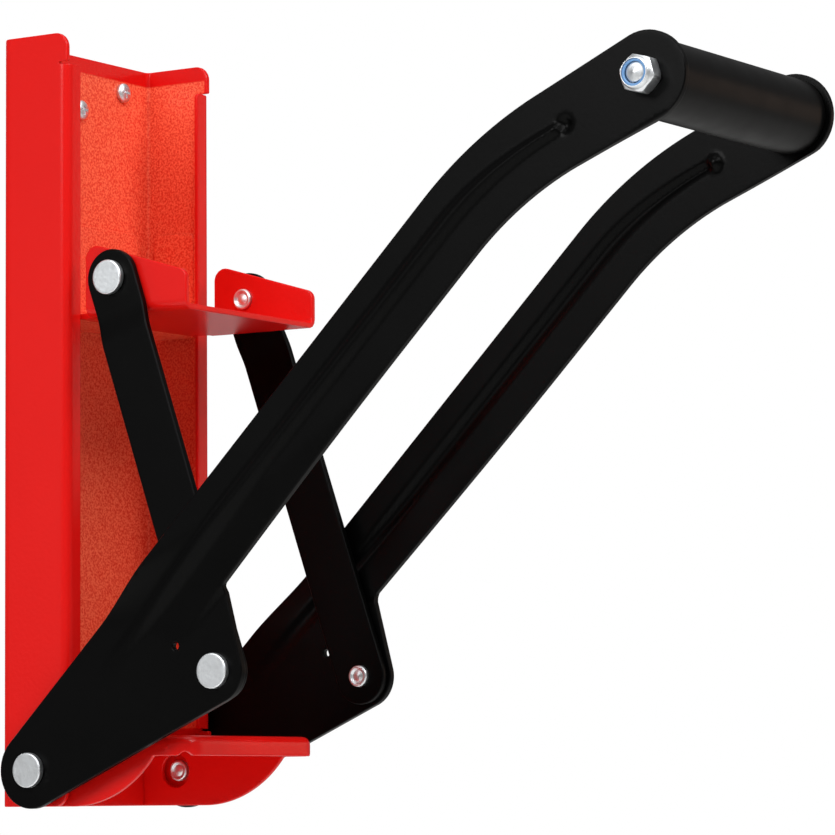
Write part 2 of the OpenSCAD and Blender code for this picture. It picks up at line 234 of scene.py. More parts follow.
def mirrored(half: list[tuple[float, float, float]]) -> list[tuple[float, float, float]]:
    """Complete the corners of a right half with those of the left half."""
    return half + [(-x, y, radius) for x, y, radius in reversed(half)]


def divided(loop: Loop, pitch: float) -> Loop:
    """Split the long stretches of a closed loop.

    Args:
        loop: Points of the loop.
        pitch: Longest stretch that may stay.

    Returns:
        Points of the same loop with more points on it.
    """
    made = []
    for here, ahead in zip(loop, np.roll(loop, -1, 0)):
        count = max(1, math.ceil(np.linalg.norm(ahead - here) / pitch))
        made.append(here + (ahead - here) * np.linspace(0, 1, count, endpoint=False)[:, None])
    joined = np.concatenate(made)
    gap = np.linalg.norm(joined - np.roll(joined, 1, 0), axis=1)
    return joined[gap > 1e-6]


def run_round(loop: Loop, sense: int) -> Loop:
    """Turn a closed loop so that it runs counter-clockwise, sense 1, or clockwise, sense -1."""
    ahead = np.roll(loop, -1, 0)
    area = float(np.sum(loop[:, 0] * ahead[:, 1] - ahead[:, 0] * loop[:, 1]))
    return loop if area * sense > 0 else loop[::-1].copy()


def drawn_in(loop: Loop, distance: float) -> Loop:
    """Move a closed loop to the left of its direction of travel by a distance."""
    ahead = np.roll(loop, -1, 0) - loop
    ahead /= np.linalg.norm(ahead, axis=1, keepdims=True)
    left = np.stack([-ahead[:, 1], ahead[:, 0]], 1)
    normal = left + np.roll(left, 1, 0)
    normal /= np.linalg.norm(normal, axis=1, keepdims=True)
    return loop + distance * normal


def within(loop: Loop, points: np.ndarray) -> np.ndarray:
    """Tell which points lie inside a closed loop.

    Args:
        loop: Points of the loop.
        points: Points to test.

    Returns:
        One truth value for each point.
    """
    ahead = np.roll(loop, -1, 0)
    x, y = points[:, :1], points[:, 1:]
    rise = ahead[:, 1] - loop[:, 1]
    crosses = (loop[:, 1] > y) != (ahead[:, 1] > y)
    rise = np.where(rise == 0, 1, rise)
    at = loop[:, 0] + (y - loop[:, 1]) / rise * (ahead[:, 0] - loop[:, 0])
    return (np.sum(crosses & (x < at), 1) % 2).astype(bool)


def clear_of(loop: Loop, points: np.ndarray, margin: float) -> np.ndarray:
    """Tell which points are further than a margin from a closed loop."""
    run = np.roll(loop, -1, 0) - loop
    reach = points[:, None, :] - loop[None]
    share = np.clip(np.sum(reach * run, 2) / np.sum(run * run, 1), 0, 1)
    gap = np.linalg.norm(reach - share[..., None] * run, axis=2)
    return gap.min(1) > margin


def honeycomb(low: np.ndarray, high: np.ndarray, pitch: float) -> np.ndarray:
    """Spread points evenly over a rectangle, in staggered rows."""
    rows = np.arange(low[1], high[1], pitch * math.sqrt(3) / 2)
    made = []
    for i, y in enumerate(rows):
        x = np.arange(low[0] + (i % 2) * pitch / 2, high[0], pitch)
        made.append(np.stack([x, np.full_like(x, y)], 1))
    return np.concatenate(made)


def smooth(share: np.ndarray) -> np.ndarray:
    """Ease from 0 to 1 as a share goes from 0 to 1."""
    share = np.clip(share, 0, 1)
    return share * share * (3 - 2 * share)


def across_fold(length: float, beside: float = 0.5) -> np.ndarray:
    """Give distances past a fold line that let a blank fold: across it and just beside it."""
    return np.concatenate([[-beside], np.linspace(0, length, 8), [length + beside]])


def fold(past: np.ndarray, off: np.ndarray, radius: float, turn: Turn) -> tuple:
    """Fold a sheet by a right angle along a line.

    Args:
        past: Distance of each point past the fold line, negative before it.
        off: Distance of each point above the sheet's middle.
        radius: Radius of the fold at the sheet's middle.
        turn: The way the flange goes.

    Returns:
        Distance past the line and height above the sheet's middle, after folding.
    """
    angle = np.clip(past / radius, 0, QUARTER)
    over = np.maximum(past - radius * QUARTER, 0)
    out = np.minimum(past, 0) + (radius - turn.value * off) * np.sin(angle)
    up = turn.value * (radius * (1 - np.cos(angle)) + over) + off * np.cos(angle)
    return out, up


# ---- Meshes ------------------------------------------------------------------------------


def dress_mesh(mesh: bpy.types.Mesh) -> None:
    """Point a closed mesh's faces outwards and shade it by its larger faces."""
    mesh.calc_loop_triangles()
    corners = np.zeros(len(mesh.vertices) * 3)
    mesh.vertices.foreach_get("co", corners)
    corners = corners.reshape(-1, 3)
    triangles = np.zeros(len(mesh.loop_triangles) * 3, int)
    mesh.loop_triangles.foreach_get("vertices", triangles)
    triangles = triangles.reshape(-1, 3)
    a, b, c = (corners[triangles[:, i]] for i in range(3))
    if np.sum(a * np.cross(b, c)) < 0:
        mesh.flip_normals()
        a, c = c, a
        triangles = triangles[:, ::-1]
    faces = np.cross(b - a, c - a)
    normals = np.zeros_like(corners)
    for i in range(3):
        np.add.at(normals, triangles[:, i], faces)
    lengths = np.linalg.norm(normals, axis=1, keepdims=True)
    normals = np.where(lengths > 0, normals / np.maximum(lengths, 1e-30), (0, 0, 1))
    mesh.shade_smooth()
    mesh.normals_split_custom_set_from_vertices(normals.tolist())


def object_of(name: str, mesh: bpy.types.Mesh) -> bpy.types.Object:
    """Put a mesh in the scene as an object at the origin."""
    made = bpy.data.objects.new(name, mesh)
    bpy.context.scene.collection.objects.link(made)
    return made


def mesh_object(name: str, points: np.ndarray, faces: list) -> bpy.types.Object:
    """Make a dressed object of points in metres and faces.

    Args:
        name: Name of the object and of its mesh.
        points: Points, one row each.
        faces: Lists of point numbers.

    Returns:
        The object, at the origin.
    """
    mesh = bpy.data.meshes.new(name)
    mesh.from_pydata(points.tolist(), [], faces)
    mesh.update()
    dress_mesh(mesh)
    return object_of(name, mesh)


@dataclass
class Blank:
    """A flat sheet with its outline and holes, before it is folded or stamped."""

    outline: Loop
    thickness: float
    inner: np.ndarray
    holes: list[Loop] = field(default_factory=list)
    edge_r: float = 0.45
    margin: float = 0.3
    edge_steps: int = 3

    def build(self, name: str, place: Placement) -> bpy.types.Object:
        """Cut the blank and put each of its points in place.

        Args:
            name: Name of the piece.
            place: Turns flat points and their heights above the sheet's middle into points
                of the frame, in metres.

        Returns:
            A closed piece with round edges.
        """
        loops = [run_round(self.outline, 1), *[run_round(hole, -1) for hole in self.holes]]
        rims = [drawn_in(loop, self.edge_r) for loop in loops]
        flat = np.concatenate([*rims, self._free_points(rims)])
        starts = np.cumsum([0, *[len(rim) for rim in rims]])
        rings = [np.arange(a, b) for a, b in zip(starts, starts[1:])]
        edges = [pair for ring in rings for pair in zip(ring.tolist(), np.roll(ring, -1).tolist())]
        cut = delaunay_2d_cdt([Vector(p) for p in flat], edges, [], 0, 1e-7, False)
        if len(cut[0]) != len(flat):
            raise ValueError(f"{name}: the outline crosses itself")
        triangles = np.array([list(face) for face in cut[2]])
        middles = flat[triangles].mean(1)
        kept = within(rims[0], middles)
        for rim in rims[1:]:
            kept &= ~within(rim, middles)
        triangles = triangles[kept]
        half = self.thickness / 2
        points = [flat, flat]
        heights = [np.full(len(flat), half), np.full(len(flat), -half)]
        faces = [*triangles.tolist(), *(triangles[:, ::-1] + len(flat)).tolist()]
        total = 2 * len(flat)
        for loop, ring in zip(loops, rings):
            levels = [ring]
            for face in (1, -1):
                for step in range(1, self.edge_steps + 1)[::face]:
                    angle = QUARTER * step / self.edge_steps
                    points.append(drawn_in(loop, self.edge_r * (1 - math.sin(angle))))
                    height = half - self.edge_r * (1 - math.cos(angle))
                    heights.append(np.full(len(loop), face * height))
                    levels.append(np.arange(total, total + len(loop)))
                    total += len(loop)
            levels.append(ring + len(flat))
            for upper, lower in zip(levels, levels[1:]):
                ahead = (np.roll(lower, -1), np.roll(upper, -1))
                faces += np.stack([upper, lower, *ahead], 1).tolist()
        placed = place(np.concatenate(points), np.concatenate(heights))
        return mesh_object(name, placed, faces)

    def _free_points(self, rims: list[Loop]) -> np.ndarray:
        """Give the inner points that lie on the sheet, away from its rims."""
        free = self.inner[within(rims[0], self.inner)]
        for rim in rims[1:]:
            free = free[~within(rim, free)]
        for rim in rims:
            free = free[clear_of(rim, free, self.margin)]
        return free


# ---- Node trees --------------------------------------------------------------------------


def add(tree: Tree, kind: str, inputs: dict | None = None, **settings) -> bpy.types.Node:
    """Add a node to a tree.

    Args:
        tree: The tree.
        kind: Type name of the node.
        inputs: A value, an output socket or a list of sockets for each input, by name or
            number.
        **settings: Properties of the node.

    Returns:
        The node.
    """
    node = tree.nodes.new(kind)
    for key, value in settings.items():
        setattr(node, key, value)
    for key, value in (inputs or {}).items():
        value = value.value if isinstance(value, Term) else value
        if isinstance(value, (Socket, list)):
            for source in value if isinstance(value, list) else [value]:
                tree.links.new(source, node.inputs[key])
        else:
            node.inputs[key].default_value = value
    return node


class Term:
    """A number in a node tree that can be reckoned with."""

    def __init__(self, tree: Tree, value: Socket | float) -> None:
        """Hold an output socket or a plain number."""
        self.tree, self.value = tree, value

    def step(self, operation: str, *others) -> "Term":
        """Give the result of one step of arithmetic with other numbers."""
        values = dict(enumerate([self, *others]))
        made = add(self.tree, "ShaderNodeMath", values, operation=operation)
        return Term(self.tree, made.outputs[0])

    def __add__(self, other) -> "Term":
        """Give the sum."""
        return self.step("ADD", other)

    def __sub__(self, other) -> "Term":
        """Give the difference."""
        return self.step("SUBTRACT", other)

    def __mul__(self, other) -> "Term":
        """Give the product."""
        return self.step("MULTIPLY", other)

    def __truediv__(self, other) -> "Term":
        """Give the quotient."""
        return self.step("DIVIDE", other)


def linear(colour: str, alpha: float = 1.0) -> tuple[float, float, float, float]:
    """Turn an sRGB hex colour such as "#c81010" into linear red, green, blue and alpha."""
    parts = [int(colour[i:i + 2], 16) / 255 for i in (1, 3, 5)]
    bright = [p / 12.92 if p <= 0.04045 else ((p + 0.055) / 1.055) ** 2.4 for p in parts]
    return (*bright, alpha)


def per_mm(size: float) -> float:
    """Give the texture scale at which a pattern repeats about once in so many millimetres."""
    return 1 / (size * MM)


def noise(tree: Tree, place: Socket, size: float, detail: float = 2.0,
          roughness: float = 0.5) -> Socket:
    """Give a noise that repeats about once in so many millimetres."""
    return add(tree, "ShaderNodeTexNoise", {
        "Vector": place, "Scale": per_mm(size), "Detail": detail, "Roughness": roughness,
    }).outputs["Fac"]


def bump(tree: Tree, height: Socket, depth: float, **more) -> Socket:
    """Give the normal of a relief that is so many millimetres deep."""
    return add(tree, "ShaderNodeBump", {
        "Height": height, "Distance": depth * MM, "Strength": 1.0, **more,
    }).outputs["Normal"]


def ramp(tree: Tree, value: Socket, start: float, end: float, low: float = 0.0,
         high: float = 1.0) -> Socket:
    """Give a number that goes from low to high as a value goes from start to end."""
    return add(tree, "ShaderNodeMapRange", {
        "Value": value, "From Min": start, "From Max": end, "To Min": low, "To Max": high,
    }).outputs["Result"]


def blend(tree: Tree, share: Socket, first, second) -> Socket:
    """Mix two colours."""
    return add(tree, "ShaderNodeMix", {"Factor": share, 6: first, 7: second},
               data_type="RGBA").outputs[2]


# ---- Finishes ----------------------------------------------------------------------------


@dataclass(frozen=True)
class Finish:
    """What all finishes share: names, two close colours and the base values."""

    name: str
    slot: str
    colour: str
    shade: str
    roughness: float
    roughness_spread: float
    cloud_mm: float

    def build(self) -> bpy.types.Material:
        """Make the material.

        Returns:
            A material whose colour and roughness drift a little over the surface.
        """
        material = bpy.data.materials.new(self.name)
        material.use_nodes = True
        tree = material.node_tree
        tree.nodes.clear()
        place = add(tree, "ShaderNodeTexCoord").outputs["Object"]
        cloud = noise(tree, place, self.cloud_mm, 3.0, 0.55)
        colour = blend(tree, cloud, linear(self.colour), linear(self.shade))
        roughness = ramp(tree, cloud, 0.3, 0.7, self.roughness - self.roughness_spread,
                         self.roughness + self.roughness_spread)
        shader = add(tree, "ShaderNodeBsdfPrincipled", {
            "Base Color": colour, "Roughness": roughness, "Normal": self.relief(tree, place),
        })
        self.tune(shader)
        add(tree, "ShaderNodeOutputMaterial", {"Surface": shader.outputs["BSDF"]})
        return material

    def relief(self, tree: Tree, place: Socket) -> Socket:
        """Give the normal that the finish's own relief makes."""
        raise NotImplementedError

    def tune(self, shader: bpy.types.Node) -> None:
        """Set the values that are the same all over the surface."""


@dataclass(frozen=True)
class PowderCoat(Finish):
    """Polyester powder, sprayed and baked on steel: it flows into a fine orange peel."""

    peel_mm: float = 1.5
    peel_depth_mm: float = 0.03
    grain_mm: float = 0.5
    grain_depth_mm: float = 0.004
    specular: float = 0.5
    # Painted reflection inside the channel: its two colours, speck size and depth, fade and box.
    thin_colour: str = ""
    thin_shade: str = ""
    thin_mm: float = 0.9
    thin_depth_mm: float = 0.16
    thin_fade: float = 0.8
    thin_spread: tuple[float, float] = (0.36, 0.62)
    thin_half: tuple[float, float, float] = (47.0, 15.3, 134.0)
    thin_middle: tuple[float, float, float] = (0.0, -16.3, -8.0)

    def build(self) -> bpy.types.Material:
        """Make the material.

        Returns:
            The coat, with a painted orange reflection in specks, and a bump on the specks, inside a
            box in the channel.
        """
        material = super().build()
        if self.thin_colour:
            self._thin_out(material.node_tree)
        return material

    def _thin_out(self, tree: Tree) -> None:
        """Mix in a painted reflection inside a box: a paler orange with darker specks, and a bump
        on the specks.
        """
        shader = next(node for node in tree.nodes if node.type == "BSDF_PRINCIPLED")
        place = next(node for node in tree.nodes if node.type == "TEX_COORD").outputs["Object"]
        moved = add(tree, "ShaderNodeVectorMath", {
            0: place, 1: tuple(x * MM for x in self.thin_middle),
        }, operation="SUBTRACT").outputs[0]
        parts = add(tree, "ShaderNodeSeparateXYZ", {0: moved}).outputs
        inside = Term(tree, 1)
        for part, half in zip(parts, self.thin_half):
            inside *= ramp(tree, Term(tree, part).step("ABSOLUTE"), half * MM,
                           (half - self.thin_fade) * MM)
        specks = noise(tree, place, self.thin_mm)
        spread = ramp(tree, specks, *self.thin_spread)
        # Painted reflection: pale orange and darker specks stand for the lights' glare in the
        # channel.
        glare = blend(tree, spread, linear(self.thin_shade), linear(self.thin_colour))
        below = {key: shader.inputs[key].links[0].from_socket for key in ("Base Color", "Normal")}
        colour = blend(tree, inside, below["Base Color"], glare)
        normal = bump(tree, specks, self.thin_depth_mm, Strength=inside, Normal=below["Normal"])
        tree.links.new(colour, shader.inputs["Base Color"])
        tree.links.new(normal, shader.inputs["Normal"])

    def relief(self, tree: Tree, place: Socket) -> Socket:
        """Give the normal of the peel, with the finer grain of the powder on it."""
        peel = bump(tree, noise(tree, place, self.peel_mm, 1.0, 0.4), self.peel_depth_mm)
        return bump(tree, noise(tree, place, self.grain_mm, 1.0, 0.4), self.grain_depth_mm,
                    Normal=peel)

    def tune(self, shader: bpy.types.Node) -> None:
        """Set the gloss of the baked film."""
        shader.inputs["Specular IOR Level"].default_value = self.specular


@dataclass(frozen=True)
class PlatedSteel(Finish):
    """Steel with a thin bright plating over the marks of the press or the lathe."""

    dent_mm: float = 1.6
    dent_depth_mm: float = 0.05
    grain_mm: float = 0.25
    grain_depth_mm: float = 0.003

    def relief(self, tree: Tree, place: Socket) -> Socket:
        """Give the normal of shallow tool marks and of the crystals in the plating."""
        marks = add(tree, "ShaderNodeTexVoronoi", {
            "Vector": place, "Scale": per_mm(self.dent_mm), "Smoothness": 1.0,
        }, feature="SMOOTH_F1")
        dents = bump(tree, marks.outputs["Distance"], self.dent_depth_mm)
        return bump(tree, noise(tree, place, self.grain_mm), self.grain_depth_mm, Normal=dents)

    def tune(self, shader: bpy.types.Node) -> None:
        """Set the plating to be metal."""
        shader.inputs["Metallic"].default_value = 1.0


@dataclass(frozen=True)
class Plastic(Finish):
    """Moulded or foamed plastic with a fine open grain."""

    grain_mm: float = 0.4
    grain_depth_mm: float = 0.03
    specular: float = 0.5

    def relief(self, tree: Tree, place: Socket) -> Socket:
        """Give the normal of the grain."""
        return bump(tree, noise(tree, place, self.grain_mm), self.grain_depth_mm)

    def tune(self, shader: bpy.types.Node) -> None:
        """Set the plastic's gloss."""
        shader.inputs["Specular IOR Level"].default_value = self.specular


# Gloss polyester powder on the frame, the seat and the press: a deep clean red that breaks
# reflections into small ripples. Inside the channel a paler orange with darker specks is
# painted on: a painted reflection that stands for the lights' speckled glare there.
RED_COAT = PowderCoat("gloss_red_powder_coat", "red_paint", "#e01410", "#d8110d", 0.24, 0.03, 60,
                      peel_mm=1.5, peel_depth_mm=0.06, grain_mm=0.6, specular=0.22,
                      thin_colour="#ff7250", thin_shade="#e8402c")
# Satin epoxy powder on the arms and links: nearly black, with soft wide highlights.
BLACK_COAT = PowderCoat("satin_black_powder_coat", "black_coat", "#020202", "#030303", 0.34,
                        0.04, 40, peel_mm=1.3, peel_depth_mm=0.018, grain_mm=0.4, specular=0.08)
# Bright zinc plate on the rivets, screws, bolt and nut: pale silver, a little cloudy.
ZINC = PlatedSteel("bright_zinc_plate", "zinc_plate", "#f0f2f4", "#e0e4e7", 0.4, 0.06, 3)
# Foamed rubber sleeve of the grip: matt and slightly dusty, so its highlight looks brownish.
GRIP_FOAM = Plastic("nbr_foam_grip", "grip_plastic", "#030303", "#050404", 0.38, 0.04, 12,
                    grain_mm=0.5, grain_depth_mm=0.02, specular=0.1)
# Blue nylon ring that locks the nut: smooth and a little waxy.
NYLON = Plastic("blue_nylon_insert", "zinc_plate", "#5f92c8", "#6b9dd2", 0.35, 0.04, 4,
                grain_mm=0.8, grain_depth_mm=0.01)
# Drawn steel tube inside the grip: dull grey with fine draw marks.
TUBE_STEEL = PlatedSteel("drawn_steel_tube", "tube_steel", "#8b8d8f", "#7d7f82", 0.42, 0.08, 8,
                         dent_mm=2.5, dent_depth_mm=0.02)
# Moulded acetal of the end bushes: grey-black and smooth.
BUSH_ACETAL = Plastic("moulded_acetal_bush", "bush_plastic", "#2a2b2d", "#303134", 0.45, 0.05, 6,
                      grain_mm=0.7, grain_depth_mm=0.012)
# Painted studio floor: pale, even and matt.
FLOOR_PAINT = Plastic("pale_floor_paint", "", "#f2f2f0", "#eeeeec", 0.7, 0.03, 300,
                      grain_mm=4, grain_depth_mm=0.05, specular=0.2)


class Finishes:
    """The materials of this machine, each made once."""

    def __init__(self) -> None:
        """Start with no material made."""
        self._made: dict[str, bpy.types.Material] = {}

    def __getitem__(self, finish: Finish) -> bpy.types.Material:
        """Give a finish's material, making it at its first use."""
        if finish.name not in self._made:
            self._made[finish.name] = finish.build()
        return self._made[finish.name]

    def dress(self, piece: bpy.types.Object, finish: Finish) -> None:
        """Paint a piece all over."""
        piece.data.materials.clear()
        piece.data.materials.append(self[finish])

    def fit(self, piece: bpy.types.Object, finish: Finish, body: str, *nodes: str) -> None:
        """Paint a piece, let it ride on a body and report it.

        Args:
            piece: The piece.
            finish: Its finish.
            body: Name of the body.
            *nodes: The nodes of the frame that it stands for.
        """
        self.dress(piece, finish)
        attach(piece, body)
        if nodes:
            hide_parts(*nodes)
        log.info("%s rides on %s, %d faces", piece.name, body, len(piece.data.polygons))


# ---- Geometry that repeats ---------------------------------------------------------------


class Repeats:
    """Geometry Nodes trees for turned pieces, threads and the set of wall screws."""

    THREAD_ROWS = 6
    BLUNT = 0.1
    WOOD_PITCH = 1.6
    WOOD_DEEP = 0.55
    WOOD_TIP = 5.0
    WOOD_STEPS = 24
    HEAD_STEPS = 40
    INTO_HEAD = 0.2

    def __init__(self) -> None:
        """Make the three trees."""
        self.turned = self._turned_tree()
        self.thread = self._thread_tree()
        self.screws = self._screw_tree()

    def grow(self, name: str, tree: Tree, base: np.ndarray, **values) -> bpy.types.Object:
        """Run a tree and keep its result as a plain mesh.

        Args:
            name: Name of the piece.
            tree: The tree.
            base: Points of the polyline that the tree starts from, in millimetres.
            **values: The tree's inputs by name, with _ for a space.

        Returns:
            The piece, with no modifier left.
        """
        start = bpy.data.meshes.new(name + "_base")
        links = [(i, i + 1) for i in range(len(base) - 1)]
        start.from_pydata((base * MM).tolist(), links, [])
        seed = object_of(name, start)
        modifier = seed.modifiers.new("shape", "NODES")
        modifier.node_group = tree
        sockets = {item.name: item.identifier for item in tree.interface.items_tree
                   if item.in_out == "INPUT"}
        for key, value in values.items():
            modifier[sockets[key.replace("_", " ")]] = value
        seed.update_tag()
        graph = bpy.context.evaluated_depsgraph_get()
        mesh = bpy.data.meshes.new_from_object(seed.evaluated_get(graph))
        seed.modifiers.remove(modifier)
        mesh.name = name
        seed.data = mesh
        bpy.data.meshes.remove(start)
        dress_mesh(mesh)
        return seed

    @staticmethod
    def _new_tree(name: str, inputs: list[tuple[str, str]]) -> tuple:
        """Make an empty geometry tree with named inputs.

        Args:
            name: Name of the tree.
            inputs: Each input's name and its kind, such as "Float".

        Returns:
            The tree and its group input node.
        """
        tree = bpy.data.node_groups.new(name, "GeometryNodeTree")
        for label, kind in inputs:
            tree.interface.new_socket(name=label, in_out="INPUT", socket_type="NodeSocket" + kind)
        tree.interface.new_socket(name="Geometry", in_out="OUTPUT",
                                  socket_type="NodeSocketGeometry")
        return tree, add(tree, "NodeGroupInput").outputs

    def _wrapped(self, tree: Tree, columns, rows, radius, height) -> Socket:
        """Wrap a grid round the Z axis and close it.

        Args:
            tree: The tree.
            columns: Number of steps round the axis.
            rows: Number of points along the axis.
            radius: Gives the radius from the row and the share of a turn.
            height: Gives the height from the row.

        Returns:
            The closed mesh.
        """
        grid = add(tree, "GeometryNodeMeshGrid", {
            "Vertices X": Term(tree, columns) + 1, "Vertices Y": rows,
        })
        index = Term(tree, add(tree, "GeometryNodeInputIndex").outputs[0])
        row = index.step("MODULO", rows)
        share = (index / rows).step("FLOOR") / columns
        angle = share * math.tau
        reach = radius(row, share)
        place = add(tree, "ShaderNodeCombineXYZ", {
            "X": reach * angle.step("COSINE"), "Y": reach * angle.step("SINE"),
            "Z": height(row),
        })
        moved = add(tree, "GeometryNodeSetPosition", {
            "Geometry": grid.outputs["Mesh"], "Position": place.outputs[0],
        })
        return add(tree, "GeometryNodeMergeByDistance", {
            "Geometry": moved.outputs[0], "Distance": WELD * MM,
        }).outputs[0]

    def _swept(self, tree: Tree, outline, steps) -> Socket:
        """Sweep a profile round the Z axis.

        Args:
            tree: The tree.
            outline: The profile's points, with the radius as X.
            steps: Number of steps round the axis.

        Returns:
            The closed mesh.
        """
        rows = add(tree, "GeometryNodeAttributeDomainSize", {"Geometry": outline})
        position = add(tree, "GeometryNodeInputPosition").outputs[0]
        sample = add(tree, "GeometryNodeSampleIndex", {
            "Geometry": outline, "Value": position,
        }, data_type="FLOAT_VECTOR")
        parts = add(tree, "ShaderNodeSeparateXYZ", {0: sample.outputs["Value"]}).outputs

        def radius(row: Term, share: Term) -> Term:
            """Give the profile's radius at a row."""
            tree.links.new(row.value, sample.inputs["Index"])
            return Term(tree, parts["X"])

        return self._wrapped(tree, steps, rows.outputs["Point Count"], radius,
                             lambda row: parts["Z"])

    @staticmethod
    def _close(tree: Tree, instances, material) -> None:
        """End a tree: make the instances real and give them their material."""
        real = add(tree, "GeometryNodeRealizeInstances", {"Geometry": instances})
        painted = add(tree, "GeometryNodeSetMaterial", {
            "Geometry": real.outputs[0], "Material": material,
        })
        add(tree, "NodeGroupOutput", {"Geometry": painted.outputs[0]})

    def _turned_tree(self) -> Tree:
        """Turn a profile round its axis and set copies of it in a row, heads outwards."""
        tree, given = self._new_tree("turned_pieces", [
            ("Profile", "Geometry"), ("Steps", "Int"), ("Count", "Int"),
            ("First spot", "Vector"), ("Next spot", "Vector"), ("Material", "Material"),
        ])
        solid = self._swept(tree, given["Profile"], given["Steps"])
        line = add(tree, "GeometryNodeMeshLine", {
            "Count": given["Count"], "Start Location": given["First spot"],
            "Offset": given["Next spot"],
        })
        across = add(tree, "ShaderNodeSeparateXYZ", {
            0: add(tree, "GeometryNodeInputPosition").outputs[0],
        }).outputs["X"]
        outwards = add(tree, "ShaderNodeCombineXYZ", {"X": Term(tree, across).step("SIGN")})
        aim = add(tree, "FunctionNodeAlignRotationToVector", {
            "Vector": outwards.outputs[0],
        }, axis="Z")
        copies = add(tree, "GeometryNodeInstanceOnPoints", {
            "Points": line.outputs[0], "Instance": solid, "Rotation": aim.outputs[0],
        })
        self._close(tree, copies.outputs[0], given["Material"])
        return tree

    def _thread_tree(self) -> Tree:
        """Grow a threaded rod along +Z from the origin, with a pointed or blunt tip."""
        tree, given = self._new_tree("thread", [
            ("Diameter", "Float"), ("Pitch", "Float"), ("Depth", "Float"), ("Length", "Float"),
            ("Tip", "Float"), ("Steps", "Int"), ("Material", "Material"),
        ])
        length, pitch, depth = (Term(tree, given[key]) for key in ("Length", "Pitch", "Depth"))
        rows = (length / pitch).step("CEIL") * self.THREAD_ROWS
        last = rows - 1

        def height(row: Term) -> Term:
            """Give a row's height; the first and the last row lie on the ends' middles."""
            share = (row - 1) / (rows - 3)
            return share.step("MAXIMUM", 0).step("MINIMUM", 1) * length

        def radius(row: Term, share: Term) -> Term:
            """Give the thread's radius at a row and a share of a turn."""
            up = height(row)
            wave = (up / pitch - share).step("PINGPONG", 0.5) * 2
            full = Term(tree, given["Diameter"]) * 0.5 - depth * wave
            taper = ((length - up) / given["Tip"]).step("MINIMUM", 1)
            blunt = taper.step("MULTIPLY_ADD", 1 - self.BLUNT, self.BLUNT)
            inside = row.step("GREATER_THAN", 0.5) * row.step("LESS_THAN", last - 0.5)
            return full * blunt * inside

        solid = self._wrapped(tree, given["Steps"], rows, radius, height)
        self._close(tree, solid, given["Material"])
        return tree

    def _screw_tree(self) -> Tree:
        """Cut a cross into a screw head, add its thread and set five screws in the wall."""
        tree, given = self._new_tree("wall_screws", [
            ("Head", "Geometry"), ("Cross width", "Float"), ("Cross length", "Float"),
            ("Cross depth", "Float"), ("Cross spot", "Vector"),
            ("Shank diameter", "Float"), ("Shank length", "Float"),
            ("Across", "Float"), ("Up", "Float"), ("Middle", "Vector"), ("Seat", "Float"),
            ("Material", "Material"),
        ])
        cutters = []
        for wide, long in (("Cross width", "Cross length"), ("Cross length", "Cross width")):
            size = add(tree, "ShaderNodeCombineXYZ", {
                "X": given[wide], "Y": given[long], "Z": given["Cross depth"],
            })
            cutters.append(add(tree, "GeometryNodeMeshCube", {"Size": size.outputs[0]}).outputs[0])
        cross = add(tree, "GeometryNodeMeshBoolean", {1: cutters}, operation="UNION",
                    solver="EXACT")
        raised = add(tree, "GeometryNodeTransform", {
            "Geometry": cross.outputs[0], "Translation": given["Cross spot"],
        })
        cut = add(tree, "GeometryNodeMeshBoolean", {
            0: self._swept(tree, given["Head"], self.HEAD_STEPS), 1: raised.outputs[0],
        }, operation="DIFFERENCE", solver="EXACT")
        shank = add(tree, "GeometryNodeGroup", {
            "Diameter": given["Shank diameter"], "Pitch": self.WOOD_PITCH * MM,
            "Depth": self.WOOD_DEEP * MM, "Length": given["Shank length"],
            "Tip": self.WOOD_TIP * MM, "Steps": self.WOOD_STEPS,
        }, node_tree=self.thread)
        turned = add(tree, "GeometryNodeTransform", {
            "Geometry": shank.outputs[0], "Rotation": (math.pi, 0, 0),
            "Translation": (0, 0, self.INTO_HEAD * MM),
        })
        screw = add(tree, "GeometryNodeJoinGeometry", {0: [turned.outputs[0], cut.outputs[0]]})
        corners = add(tree, "GeometryNodeMeshGrid", {
            "Size X": given["Across"], "Size Y": given["Up"], "Vertices X": 2, "Vertices Y": 2,
        })
        middle = add(tree, "GeometryNodeMeshLine", {
            "Count": 1, "Start Location": given["Middle"],
        })
        spots = add(tree, "GeometryNodeJoinGeometry", {
            0: [corners.outputs["Mesh"], middle.outputs[0]],
        })
        copies = add(tree, "GeometryNodeInstanceOnPoints", {
            "Points": spots.outputs[0], "Instance": screw.outputs[0],
        })
        lift = add(tree, "ShaderNodeCombineXYZ", {"Y": given["Seat"]})
        stood = add(tree, "GeometryNodeTransform", {
            "Geometry": copies.outputs[0], "Translation": lift.outputs[0],
            "Rotation": (QUARTER, 0, 0),
        })
        self._close(tree, stood.outputs[0], given["Material"])
        return tree


def profile(*points: tuple[float, float]) -> np.ndarray:
    """Give a turned piece's profile from its radius and height at each point."""
    return np.array([(radius, 0, height) for radius, height in points], float)


# ---- The wall frame ----------------------------------------------------------------------


